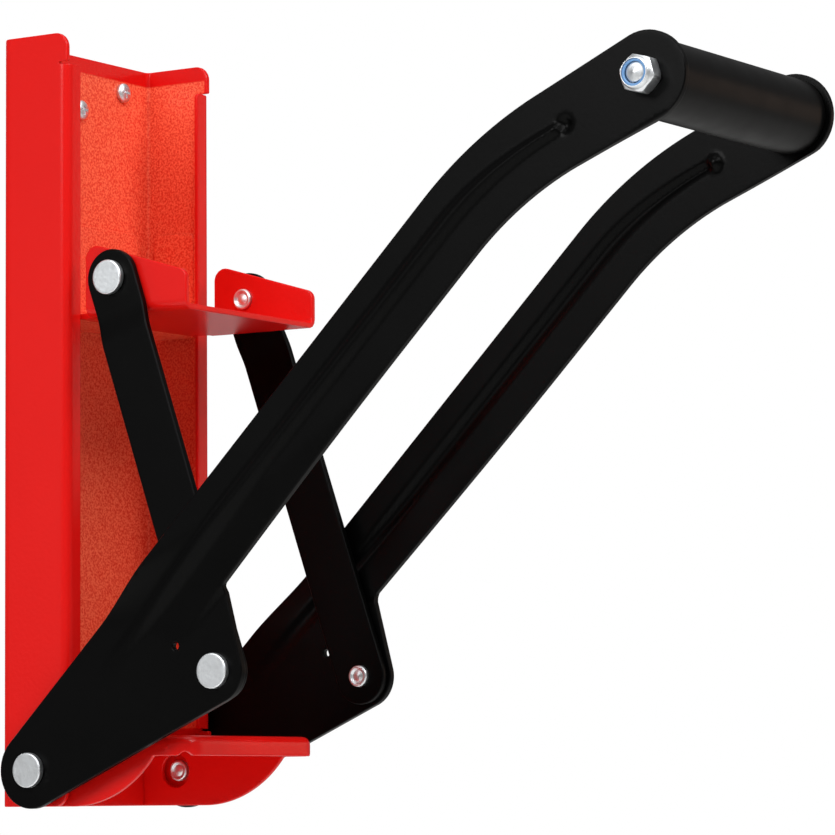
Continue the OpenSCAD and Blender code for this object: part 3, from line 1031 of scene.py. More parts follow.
@dataclass
class ChannelFrame:
    """The folded wall frame: back panel, side walls and the lips that hold the press."""

    sheet_t: float = 2.0
    bend_r: float = 2.5
    lip_w: float = 9.0
    lip_drop: float = 12.5
    lip_foot: float = 31.0
    corner_r: float = 6.0
    lip_corner_r: float = 2.0
    slot: float = 0.9
    slot_in: float = 0.6
    rivet_d: float = 6.0
    screw_d: float = 4.6
    beside_fold: float = 0.7
    row_pitch: float = 6.0
    back_pitch: float = 9.0
    wall_pitch: float = 7.0

    def __post_init__(self) -> None:
        """Work out the flat sizes from the frame's box."""
        low, high = extent("back_frame")
        self.width, self.depth, self.height = high - low
        self.bend_l = self.bend_r * QUARTER
        self.set_in = self.bend_r + self.sheet_t / 2
        self.back_half = self.width / 2 - self.set_in
        self.wall_end = self.back_half + self.bend_l + self.depth - 2 * self.set_in
        self.lip_end = self.wall_end + self.bend_l + self.lip_w - self.set_in
        self.lip_top = self.height - self.lip_drop

    def outline(self) -> Loop:
        """Give the outline of the flat blank, across the sheet and up."""
        front = self.wall_end + self.set_in
        notch = self.wall_end - self.slot_in
        half = [
            (front, 0, self.corner_r),
            (front, self.lip_foot - self.slot, 0.7),
            (notch, self.lip_foot - self.slot, 0.3),
            (notch, self.lip_foot, 0.3),
            (self.lip_end, self.lip_foot, self.lip_corner_r),
            (self.lip_end, self.lip_top, self.lip_corner_r),
            (notch, self.lip_top, 0.3),
            (notch, self.lip_top + self.slot, 0.3),
            (front, self.lip_top + self.slot, 0.7),
            (front, self.height, self.corner_r),
        ]
        return divided(rounded(mirrored(half)), 0.9)

    def inner(self) -> np.ndarray:
        """Give columns of points that let the blank fold."""
        beside = self.beside_fold
        bend = np.linspace(0, self.bend_l, 10)
        bend = np.concatenate([[-beside], bend, [self.bend_l + beside]])
        half = np.concatenate([
            np.arange(6, self.back_half - 2, self.back_pitch), self.back_half + bend,
            np.arange(self.back_half + 10, self.wall_end - 4, self.wall_pitch),
            self.wall_end + bend, [self.wall_end + 6.5],
        ])
        columns = np.concatenate([-half[::-1], [0], half])
        rows = np.arange(2, self.height, self.row_pitch)
        return np.stack(np.meshgrid(columns, rows), -1).reshape(-1, 2)

    def place(self, flat: np.ndarray, off: np.ndarray) -> np.ndarray:
        """Fold the blank into a channel with lips."""
        across, height = np.abs(flat[:, 0]), flat[:, 1]
        lipped = (height > self.lip_foot - self.slot / 2) & (height < self.lip_top + self.slot / 2)
        out, up = fold(across - self.wall_end, off, self.bend_r, Turn.UP)
        across = np.where(lipped, self.wall_end + out, across)
        off = np.where(lipped, up, off)
        out, up = fold(across - self.back_half, off, self.bend_r, Turn.UP)
        across = (self.back_half + out) * np.sign(flat[:, 0])
        return world(across, up + self.sheet_t / 2, height)

    def build(self, finishes: Finishes) -> None:
        """Make the frame, paint it and put it on its body."""
        pivot = spot("frame_rivet_left")
        rivet_u = self.back_half + self.bend_l + pivot[0] - self.set_in
        holes = hole_pair(rivet_u, pivot[1], self.rivet_d / 2)
        holes += [circle(np.array(place), self.screw_d / 2) for place in screw_places()]
        blank = Blank(self.outline(), self.sheet_t, self.inner(), holes)
        piece = blank.build("channel_frame", self.place)
        finishes.fit(piece, RED_COAT, "frame", "back_frame")


SCREW_ACROSS = 57.0
SCREW_MIDDLE_DROP = 11.0


def screw_places() -> list[tuple[float, float]]:
    """Give each wall screw's distance from the middle plane and height above the foot."""
    low, high = extent("wall_screws")
    head_r = (high[0] - low[0] - SCREW_ACROSS) / 2
    up, down = high[2] - FOOT - head_r, low[2] - FOOT + head_r
    corners = [(x * SCREW_ACROSS / 2, z) for x in (-1, 1) for z in (down, up)]
    return [*corners, (0.0, up - SCREW_MIDDLE_DROP)]


@dataclass
class WallScrews:
    """Five pan-head wood screws with a cross recess."""

    head_d: float = 8.0
    head_h: float = 2.6
    head_edge: float = 0.3
    head_edge_h: float = 0.25
    head_rim: float = 0.35
    shank_d: float = 4.2
    shank_l: float = 13.0
    cross_w: float = 0.95
    cross_l: float = 4.4
    cross_deep: float = 1.7
    sheet_t: float = 2.0

    def build(self, finishes: Finishes, repeats: Repeats) -> None:
        """Make the screws and put them on the frame."""
        r, h = self.head_d / 2, self.head_h
        rim = self.head_rim
        dome = [(r * math.sin(a), h * (rim + (1 - rim) * math.cos(a)))
                for a in np.linspace(0, QUARTER, 9)]
        head = profile((0, 0), (r - self.head_edge, 0), (r, self.head_edge_h), *dome[::-1])
        places = screw_places()
        piece = repeats.grow(
            "wall_screw_set", repeats.screws, head,
            Cross_width=self.cross_w * MM, Cross_length=self.cross_l * MM,
            Cross_depth=2 * self.cross_deep * MM,
            Cross_spot=(0, 0, self.head_h * MM),
            Shank_diameter=self.shank_d * MM, Shank_length=self.shank_l * MM,
            Across=SCREW_ACROSS * MM, Up=(places[1][1] - places[0][1]) * MM,
            Middle=(0, (places[4][1] - (places[0][1] + places[1][1]) / 2) * MM, 0),
            Seat=-self.sheet_t * MM, Material=finishes[ZINC],
        )
        finishes.fit(piece, ZINC, "frame", "wall_screws")


# ---- The seat ----------------------------------------------------------------------------


@dataclass
class DrawnSeat:
    """The pressed seat: a flat top whose rim runs down into the two gussets."""

    sheet_t: float = 2.0
    fold_r: float = 2.3
    rim_h: float = 7.8
    plan_r: float = 9.0
    gusset_r: float = 49.0
    frame_depth: float = 32.6
    notch_h: float = 1.6
    notch_l: float = 4.5
    access_d: float = 13.6
    clear: float = 0.8
    pitch: float = 2.2

    def __post_init__(self) -> None:
        """Work out the flat sizes from the seat's box."""
        low, high = extent("can_seat")
        self.half = high[0] - self.sheet_t / 2 - self.fold_r
        self.front = -low[1] - self.sheet_t / 2 - self.fold_r
        self.back = -high[1]
        self.top = high[2] - FOOT
        self.corner = self.plan_r - self.sheet_t / 2 - self.fold_r
        self.corner_at = np.array([self.half, self.front]) - self.corner
        self.rim_past = self._past(self.top - self.rim_h)

    def _past(self, height: float) -> float:
        """Give the flat distance past the fold line at which the flange has a height."""
        return self.fold_r * QUARTER + self.top - self.sheet_t / 2 - self.fold_r - height

    def _nearest(self, flat: np.ndarray) -> tuple[np.ndarray, np.ndarray]:
        """Give each point's distance past the fold line and the direction away from it."""
        out = np.abs(flat[:, 0]) - self.corner_at[0]
        ahead = flat[:, 1] - self.corner_at[1]
        in_corner = (out > 0) & (ahead > 0)
        reach = np.hypot(out, ahead)
        safe = np.maximum(reach, 1e-9)
        sideways = out > ahead
        past = np.where(in_corner, reach, np.maximum(out, ahead)) - self.corner
        x = np.where(in_corner, out / safe, np.where(sideways, 1.0, 0.0))
        y = np.where(in_corner, ahead / safe, np.where(sideways, 0.0, 1.0))
        return past, np.stack([x * np.sign(flat[:, 0]), y], 1)

    def place(self, flat: np.ndarray, off: np.ndarray) -> np.ndarray:
        """Fold the rim and the gussets down round the top."""
        past, away = self._nearest(flat)
        base = flat - away * past[:, None]
        out, up = fold(past, off, self.fold_r, Turn.DOWN)
        folded = base + away * out[:, None]
        return world(folded[:, 0], folded[:, 1], self.top - self.sheet_t / 2 + up)

    def outline(self) -> Loop:
        """Give the outline of the flat blank, across the machine and away from the wall."""
        ends = math.sqrt(self.gusset_r**2 - (self.gusset_r - self.top + self.rim_h) ** 2)
        foot = self.half + self._past(0)
        side = [(foot, self.back), (foot, self.frame_depth)]
        for along in np.linspace(0, ends, 26)[1:]:
            height = self.gusset_r - math.sqrt(self.gusset_r**2 - along**2)
            side.append((self.half + self._past(height), self.frame_depth + along))
        for along in np.linspace(self.frame_depth + ends, self.corner_at[1], 8)[1:-1]:
            side.append((self.half + self.rim_past, along))
        for angle in np.linspace(0, 90, 40):
            away = abs(angle - 45) / 90 * math.pi * self.plan_r / self.notch_l
            dip = self.notch_h * max(0.0, math.cos(min(away, QUARTER))) ** 1.5
            reach = self.corner + self.rim_past - dip
            side.append(tuple(self.corner_at + reach * direction(angle)))
        right = np.array(side)
        left = right[::-1] * [-1, 1]
        return divided(np.concatenate([right, left]), 1.2)

    def inner(self) -> np.ndarray:
        """Give points for the top and the flanges, close together across the fold."""
        wide = self.half + self._past(0)
        spread = honeycomb(np.array([-wide, self.back]),
                           np.array([wide, self.front + self.rim_past]), self.pitch)
        past, _ = self._nearest(spread)
        bend_l = self.fold_r * QUARTER
        spread = spread[(past < -self.clear) | (past > bend_l + self.clear)]
        rows = []
        for past_fold in across_fold(bend_l):
            side = np.arange(self.back + 1, self.corner_at[1], self.pitch)
            corner = arc(self.corner_at, self.corner + past_fold, 0, 90, 10)
            front = np.arange(self.corner_at[0], 0, -self.pitch)[1:]
            right = np.concatenate([
                np.stack([np.full_like(side, self.half + past_fold), side], 1), corner,
                np.stack([front, np.full_like(front, self.front + past_fold)], 1),
            ])
            rows += [right, right * [-1, 1]]
        return np.concatenate([spread, *rows])

    def build(self, finishes: Finishes) -> None:
        """Make the seat, paint it and put it on the frame."""
        pivot = spot("frame_rivet_left")
        holes = hole_pair(self.half + self._past(pivot[1]), pivot[0], self.access_d / 2)
        piece = Blank(self.outline(), self.sheet_t, self.inner(), holes).build(
            "drawn_seat", self.place)
        finishes.fit(piece, RED_COAT, "frame", "can_seat")


# ---- The press ---------------------------------------------------------------------------


@dataclass
class FoldedPress:
    """The press: a flat plate with two ears in front and guide tabs inside the frame."""

    sheet_t: float = 2.2
    fold_r: float = 2.6
    ear_rear: float = 38.8
    ear_rear_h: float = 29.4
    ear_front_h: float = 15.0
    ear_half: float = 44.2
    tab_h: float = 44.0
    tab_half: float = 36.0
    side_tab: tuple[float, float] = (7.0, 27.4)
    neck_half: float = 38.2
    rivet_d: float = 6.0
    pitch: float = 2.4
    fold_middle: float = 2.0
    fold_clear: float = 3.4

    def __post_init__(self) -> None:
        """Work out the flat sizes from the press's box."""
        low, high = extent("press_plate")
        self.under = low[2] - FOOT
        self.front = -low[1]
        self.back = -high[1]
        self.guide_half = high[0]
        flat_in = self.sheet_t / 2 + self.fold_r
        self.ear_line = self.ear_half - flat_in
        self.tab_line = self.guide_half - flat_in
        self.rear_line = self.back + flat_in

    def _past(self, height: float) -> float:
        """Give the flat distance past a fold line at which a flange has a height."""
        return self.fold_r * QUARTER + height - self.sheet_t / 2 - self.fold_r

    def _at_fold(self, past: np.ndarray) -> np.ndarray:
        """Tell which points are on or close to a fold, from their distance past its line."""
        return np.abs(past - self.fold_middle) < self.fold_clear

    def outline(self) -> Loop:
        """Give the outline of the flat blank, across the machine and away from the wall."""
        tab = self._past(self.tab_h)
        rear, front = self.side_tab
        half = [
            (self.tab_half, self.rear_line - tab, 3),
            (self.tab_half, self.rear_line + 0.5, 0.4),
            (self.tab_line - 1, self.rear_line + 0.5, 0.8),
            (self.tab_line - 0.4, rear, 0.2),
            (self.tab_line + tab, rear, 3),
            (self.tab_line + tab, front, 3),
            (self.tab_line - 0.4, front, 0.4),
            (self.neck_half, front + 2.6, 0.6),
            (self.neck_half, self.ear_rear, 0.8),
            (self.ear_line + self._past(self.ear_rear_h), self.ear_rear, 5),
            (self.ear_line + self._past(self.ear_front_h), self.front, 4),
        ]
        return divided(rounded(mirrored(half)), 1.2)

    def inner(self) -> np.ndarray:
        """Give points for the plate and its flanges, close together across each fold."""
        reach = self.tab_line + self._past(self.tab_h)
        low = np.array([-reach, self.rear_line - self._past(self.tab_h)])
        spread = honeycomb(low, np.array([reach, self.front]), self.pitch)
        steps = across_fold(self.fold_r * QUARTER)
        rows = []
        for line, start, end in ((self.ear_line, self.ear_rear, self.front),
                                 (self.tab_line, *self.side_tab)):
            along = np.arange(start + 0.6, end, self.pitch)
            for past in steps:
                row = np.stack([np.full_like(along, line + past), along], 1)
                rows += [row, row * [-1, 1]]
            near = self._at_fold(np.abs(spread[:, 0]) - line)
            near &= (spread[:, 1] > start - 1) & (spread[:, 1] < end + 1)
            spread = spread[~near]
        along = np.arange(-self.tab_half + 0.6, self.tab_half, self.pitch)
        near = self._at_fold(self.rear_line - spread[:, 1])
        near &= np.abs(spread[:, 0]) < self.tab_half + 1
        spread = spread[~near]
        rows += [np.stack([along, np.full_like(along, self.rear_line - past)], 1) for past in steps]
        return np.concatenate([spread, *rows])

    def place(self, flat: np.ndarray, off: np.ndarray) -> np.ndarray:
        """Fold the ears and the tabs up from the plate."""
        x, y = np.abs(flat[:, 0]), flat[:, 1]
        middle = self.under + self.sheet_t / 2
        line = np.where(y > (self.ear_rear + self.side_tab[1]) / 2, self.ear_line, self.tab_line)
        out, up = fold(x - line, off, self.fold_r, Turn.UP)
        back_out, back_up = fold(self.rear_line - y, off, self.fold_r, Turn.UP)
        rear = y < self.rear_line
        across = np.where(rear, x, line + out) * np.sign(flat[:, 0])
        depth = np.where(rear, self.rear_line - back_out, y)
        return world(across, depth, middle + np.where(rear, back_up, up))

    def build(self, finishes: Finishes) -> None:
        """Make the press, paint it and put it on its body."""
        rivet = spot("press_rivet_left")
        holes = hole_pair(self.ear_line + self._past(rivet[1] - self.under), rivet[0],
                          self.rivet_d / 2)
        piece = Blank(self.outline(), self.sheet_t, self.inner(), holes).build(
            "folded_press", self.place)
        finishes.fit(piece, RED_COAT, "press", "press_plate")


# ---- Links and arms ----------------------------------------------------------------------


@dataclass
class LinkBar:
    """A flat bar with round ends and a small outward joggle below its upper rivet."""

    width: float = 22.5
    plate_t: float = 3.0
    joggle_start: float = 13.0
    joggle_run: float = 13.0
    rivet_d: float = 6.1
    pitch: float = 2.2

    def build(self, finishes: Finishes, side: Side) -> None:
        """Make one link, paint it and put it on its body.

        Args:
            finishes: The machine's materials.
            side: The side of the machine.
        """
        upper, lower = spot(f"press_rivet_{side.word}"), spot(f"link_pin_{side.word}")
        near, far = sides(f"link_{side.word}")
        run = lower - upper
        length = float(np.linalg.norm(run))
        run /= length
        lean = math.degrees(math.atan2(run[1], run[0]))
        outline = np.concatenate([arc(upper, self.width / 2, lean + 90, lean + 270),
                                  arc(lower, self.width / 2, lean - 90, lean + 90)])
        step = far - near - self.plate_t
        inner = honeycomb(np.minimum(upper, lower) - self.width,
                          np.maximum(upper, lower) + self.width, self.pitch)

        def place(flat: np.ndarray, off: np.ndarray) -> np.ndarray:
            """Joggle the bar outwards and stand it in its plane."""
            down = (flat - upper) @ run
            rise = step * smooth((down - self.joggle_start) / self.joggle_run)
            across = near + self.plate_t / 2 + rise + off
            return world(side.value * across, flat[:, 0], flat[:, 1])

        holes = [circle(centre, self.rivet_d / 2) for centre in (upper, lower)]
        piece = Blank(divided(outline, 2), self.plate_t, inner, holes, edge_r=0.5).build(
            f"link_bar_{side.word}", place)
        finishes.fit(piece, BLACK_COAT, f"{side.word}_link", f"link_{side.word}")


@dataclass
class StampedArm:
    """A long stamped arm: it steps outwards above the links and has a rib along it."""

    bar_w: float = 31.5
    bar_a: float = 45.0
    bar_l: float = 308.0
    bar_drop: float = 1.0
    bend_r: float = 150.0
    tip_a: float = 23.3
    foot_r: float = 15.0
    ear_r: float = 12.5
    tip_r: float = 16.6
    ear_corner_s: float = 114.6
    ear_fillet: float = 2.5
    pivot_r: float = 3.06
    pin_r: float = 3.0
    bolt_r: float = 4.0
    plate_t: float = 3.0
    relief_d: float = 3.0
    relief_s: float = 82.5
    upper_ramp: tuple[float, float] = (62.0, 98.0)
    lower_ramp: tuple[float, float] = (84.0, 235.0)
    crease: tuple[float, float] = (-18.2, -15.9)
    rib_off: float = 1.6
    rib_half: float = 3.4
    rib_taper: float = 0.55
    rib_h: float = 1.8
    rib_span: tuple[float, float] = (40.0, 341.0)
    rib_fade: float = 70.0
    rib_soft: float = 1.25
    ramp_bow: float = 0.7
    ramp_ease: float = 0.6
    dimple_s: float = 340.0
    dimple_r: float = 3.0
    dimple_deep: float = 1.9
    dimple_soft: tuple[float, float] = (1.4, 1.1)
    pitch: float = 1.5

    def __post_init__(self) -> None:
        """Work out the arm's centre line from the places of its rivets and its bolt."""
        self.pivot = spot("frame_rivet_left")
        self.crank = spot("arm_pin_left")
        self.grip = spot("handle_grip")
        self.ahead, self.left = direction(self.bar_a), direction(self.bar_a + 90)
        self.foot = self.pivot - self.bar_drop * self.left
        self.cut = self.bend_r * math.tan(math.radians((self.bar_a - self.tip_a) / 2))
        self.bend_start = self.bar_l - self.cut
        self.bend_l = self.bend_r * math.radians(self.bar_a - self.tip_a)
        self.centre = self.foot + self.bend_start * self.ahead - self.bend_r * self.left

    def outline(self) -> Loop:
        """Give the arm's outline in the side plane."""
        half = self.bar_w / 2
        corner = self.foot + self.ear_corner_s * self.ahead - half * self.left
        foot_a = self._touch(self.pivot, self.foot_r, self.crank, self.ear_r)
        ear_a = self._touch(self.crank, self.ear_r, corner, 0)
        last = self.crank + self.ear_r * direction(ear_a)
        fillet = rounded([(*last, 0), (*corner, self.ear_fillet), (*(corner + 30 * self.ahead), 0)])
        return np.concatenate([
            arc(self.pivot, self.foot_r, self.bar_a + 90, foot_a + 360),
            arc(self.crank, self.ear_r, foot_a, ear_a),
            fillet[1:-1],
            arc(self.centre, self.bend_r - half, self.bar_a + 90, self.tip_a + 90),
            arc(self.grip, self.tip_r, self.tip_a - 90, self.tip_a + 90),
            arc(self.centre, self.bend_r + half, self.tip_a + 90, self.bar_a + 90),
        ])

    @staticmethod
    def _touch(p: np.ndarray, p_r: float, q: np.ndarray, q_r: float) -> float:
        """Give the angle of the outer tangent's touching point, below the line from p to q."""
        line = q - p
        lean = math.degrees(math.acos((p_r - q_r) / np.linalg.norm(line)))
        return math.degrees(math.atan2(line[1], line[0])) - lean

    def along(self, flat: np.ndarray) -> tuple[np.ndarray, np.ndarray]:
        """Give each point's distance along the centre line and above it."""
        out = flat - self.centre
        turned = np.radians(self.bar_a + 90) - np.arctan2(out[:, 1], out[:, 0])
        turned = (turned + math.pi) % math.tau - math.pi
        tip, tip_left = direction(self.tip_a), direction(self.tip_a + 90)
        bend_end = self.centre + self.bend_r * tip_left
        bent = turned * self.bend_r
        s = np.where(turned < 0, (flat - self.foot) @ self.ahead,
                     np.where(bent < self.bend_l, self.bend_start + bent,
                              self.bend_start + self.bend_l + (flat - bend_end) @ tip))
        t = np.where(turned < 0, (flat - self.foot) @ self.left,
                     np.where(bent < self.bend_l, np.hypot(*out.T) - self.bend_r,
                              (flat - bend_end) @ tip_left))
        return s, t

    def rise(self, flat: np.ndarray, step: float) -> np.ndarray:
        """Give how far the stamping pushes each point outwards.

        Args:
            flat: Points in the side plane.
            step: Outward step from the rivets to the handle.

        Returns:
            Distances in millimetres.
        """
        s, t = self.along(flat)
        up = np.clip(t / self.bar_w + 0.5, 0, 1)
        start = self.lower_ramp[0] + (self.upper_ramp[0] - self.lower_ramp[0]) * up
        end = self.lower_ramp[1] + (self.upper_ramp[1] - self.lower_ramp[1]) * up**self.ramp_bow
        level = step * smooth((s - start) / (end - start)) ** (
            self.ramp_ease + (1 - self.ramp_ease) * up)
        level *= smooth((t - self.crease[0]) / (self.crease[1] - self.crease[0]))
        to_end = np.maximum(s - (self.rib_span[1] - self.rib_half), 0)
        ended = smooth((s - self.bend_start) / (self.rib_span[1] - self.bend_start))
        half = self.rib_half * (1 - self.rib_taper * ended)
        off = np.hypot(t - self.rib_off * (1 - ended), to_end) / half
        fade = smooth((s - self.rib_span[0]) / self.rib_fade)
        inner, slope = self.dimple_soft
        dimple = smooth(inner - slope * np.hypot(s - self.dimple_s, t) / self.dimple_r)
        rib = self.rib_h * fade * smooth(self.rib_soft - off)
        return level + rib * (1 - dimple) - self.dimple_deep * dimple

    def build(self, finishes: Finishes, side: Side) -> None:
        """Make one arm, paint it and put it on the handle.

        Args:
            finishes: The machine's materials.
            side: The side of the machine.
        """
        near, far = sides(f"arm_{side.word}")
        step = far - near - self.plate_t
        outline = divided(self.outline(), 1.6)
        inner = honeycomb(outline.min(0), outline.max(0), self.pitch)

        def place(flat: np.ndarray, off: np.ndarray) -> np.ndarray:
            """Stamp the arm and stand it in its plane."""
            across = near + self.plate_t / 2 + self.rise(flat, step) + off
            return world(side.value * across, flat[:, 0], flat[:, 1])

        relief = self.foot + self.relief_s * self.ahead - self.bar_w / 2 * self.left
        holes = [circle(self.pivot, self.pivot_r), circle(self.crank, self.pin_r),
                 circle(self.grip, self.bolt_r),
                 circle(relief, self.relief_d / 2, 24)]
        piece = Blank(outline, self.plate_t, inner, holes, edge_r=0.5, margin=0.6).build(
            f"stamped_arm_{side.word}", place)
        finishes.fit(piece, BLACK_COAT, "handle", f"arm_{side.word}")


# ---- Rivets and washers ------------------------------------------------------------------


@dataclass
class Rivets:
    """The six rivets and the two washers under the arms."""

    shank_r: float = 3.0
    head_r: float = 6.8
    head_h: float = 2.5
    head_edge: float = 0.55
    tail_r: float = 4.3
    tail_h: float = 1.9
    tail_curl: float = 0.75
    tail_cup: tuple[tuple[float, float], ...] = ((0.0, 0.85), (0.3, 0.8), (0.5, 0.62))
    washer_edge: float = 0.2
    steps: int = 48

    def head(self, base: float) -> list[tuple[float, float]]:
        """Give a flat head's profile, from its rim inwards, standing on a height."""
        r, top, edge = self.head_r, base + self.head_h, self.head_edge
        turn = [(r - edge + edge * math.sin(a), top - edge + edge * math.cos(a))
                for a in np.linspace(QUARTER, 0, 5)]
        return [(r - 0.15, base), (r, base + 0.2), *turn, (r - 1.2, top + 0.02), (0, top - 0.06)]

    def tail(self, base: float) -> list[tuple[float, float]]:
        """Give a closed end's profile, from its middle outwards, hanging from a height."""
        r, h, curl = self.tail_r, self.tail_h, self.tail_curl
        ring = [(r - curl + curl * math.cos(a), base - h + curl - curl * math.sin(a))
                for a in np.linspace(2.6, 0, 9)]
        cup = [(out * r, base - deep * h) for out, deep in self.tail_cup]
        return [*cup, (r - 1.7, base - 0.5 * h), *ring, (r, base)]

    def outline(self, start: float, end: float, tail: bool, head: bool) -> np.ndarray:
        """Give a whole rivet's profile from its closed end to its head.

        Args:
            start: Distance from the middle plane at which the shank starts.
            end: Distance from the middle plane at which the shank ends.
            tail: Whether the closed end belongs to it.
            head: Whether the head belongs to it.

        Returns:
            The profile, with heights measured from the shank's start.
        """
        shank = [(self.shank_r, 0.0), (self.shank_r, end - start)]
        first = self.tail(0.0) if tail else [(0.0, 0.0)]
        last = self.head(end - start) if head else [(0.0, end - start)]
        return profile(*first, *shank, *last)

    def build(self, finishes: Finishes, repeats: Repeats) -> None:
        """Make all rivets and washers and put them on their bodies."""
        self._pair(finishes, repeats, "frame_rivets", "frame", "frame_rivet")
        self._pair(finishes, repeats, "press_rivets", "press", "press_rivet")
        self._pair(finishes, repeats, "arm_rivet_heads", "handle", "arm_pin", tail=False)
        for side in Side:
            self._one(finishes, repeats, side)
        self._washers(finishes, repeats)

    def _span(self, node: str, tail: bool, head: bool) -> tuple[float, float]:
        """Give where a rivet's shank starts and ends, from its node's box."""
        near, far = sides(node)
        return near + self.tail_h * tail, far - self.head_h * head

    def _set(self, finishes: Finishes, repeats: Repeats, name: str, outline: np.ndarray,
             first: float, body: str, *nodes: str) -> None:
        """Turn a profile, set a copy in place for each node, paint them and report them.

        Args:
            finishes: The machine's materials.
            repeats: The trees.
            name: Name of the piece.
            outline: The profile.
            first: Distance of the first copy to the right of the middle plane.
            body: The body that it rides on.
            *nodes: One node, or the left and the right one.
        """
        depth, height = spot(nodes[-1])
        piece = repeats.grow(
            name, repeats.turned, outline, Steps=self.steps, Count=len(nodes),
            First_spot=(first * MM, -depth * MM, (height + FOOT) * MM),
            Next_spot=(-2 * first * MM, 0, 0), Material=finishes[ZINC])
        finishes.fit(piece, ZINC, body, *nodes)

    def _pair(self, finishes: Finishes, repeats: Repeats, name: str, body: str, node: str,
              tail: bool = True) -> None:
        """Make the left and the right rivet of one kind as one piece."""
        start, end = self._span(f"{node}_right", tail, True)
        self._set(finishes, repeats, name, self.outline(start, end, tail, True), -start, body,
                  f"{node}_left", f"{node}_right")

    def _one(self, finishes: Finishes, repeats: Repeats, side: Side) -> None:
        """Make the closed end of a link rivet."""
        node = f"link_pin_{side.word}"
        start, end = self._span(node, True, False)
        self._set(finishes, repeats, f"link_rivet_end_{side.word}",
                  self.outline(start, end, True, False), side.value * start,
                  f"{side.word}_link", node)

    def _washers(self, finishes: Finishes, repeats: Repeats) -> None:
        """Make the washers between the frame and the arms."""
        low, high = extent("pivot_washer_right")
        r, t, bore, edge = (high[2] - low[2]) / 2, high[0] - low[0], self.shank_r, self.washer_edge
        ring = profile((bore, 0), (r - edge, 0), (r, edge), (r, t - edge), (r - edge, t),
                       (bore, t), (bore, 0))
        self._set(finishes, repeats, "pivot_washers", ring, -low[0], "frame",
                  "pivot_washer_left", "pivot_washer_right")


# ---- The handle --------------------------------------------------------------------------


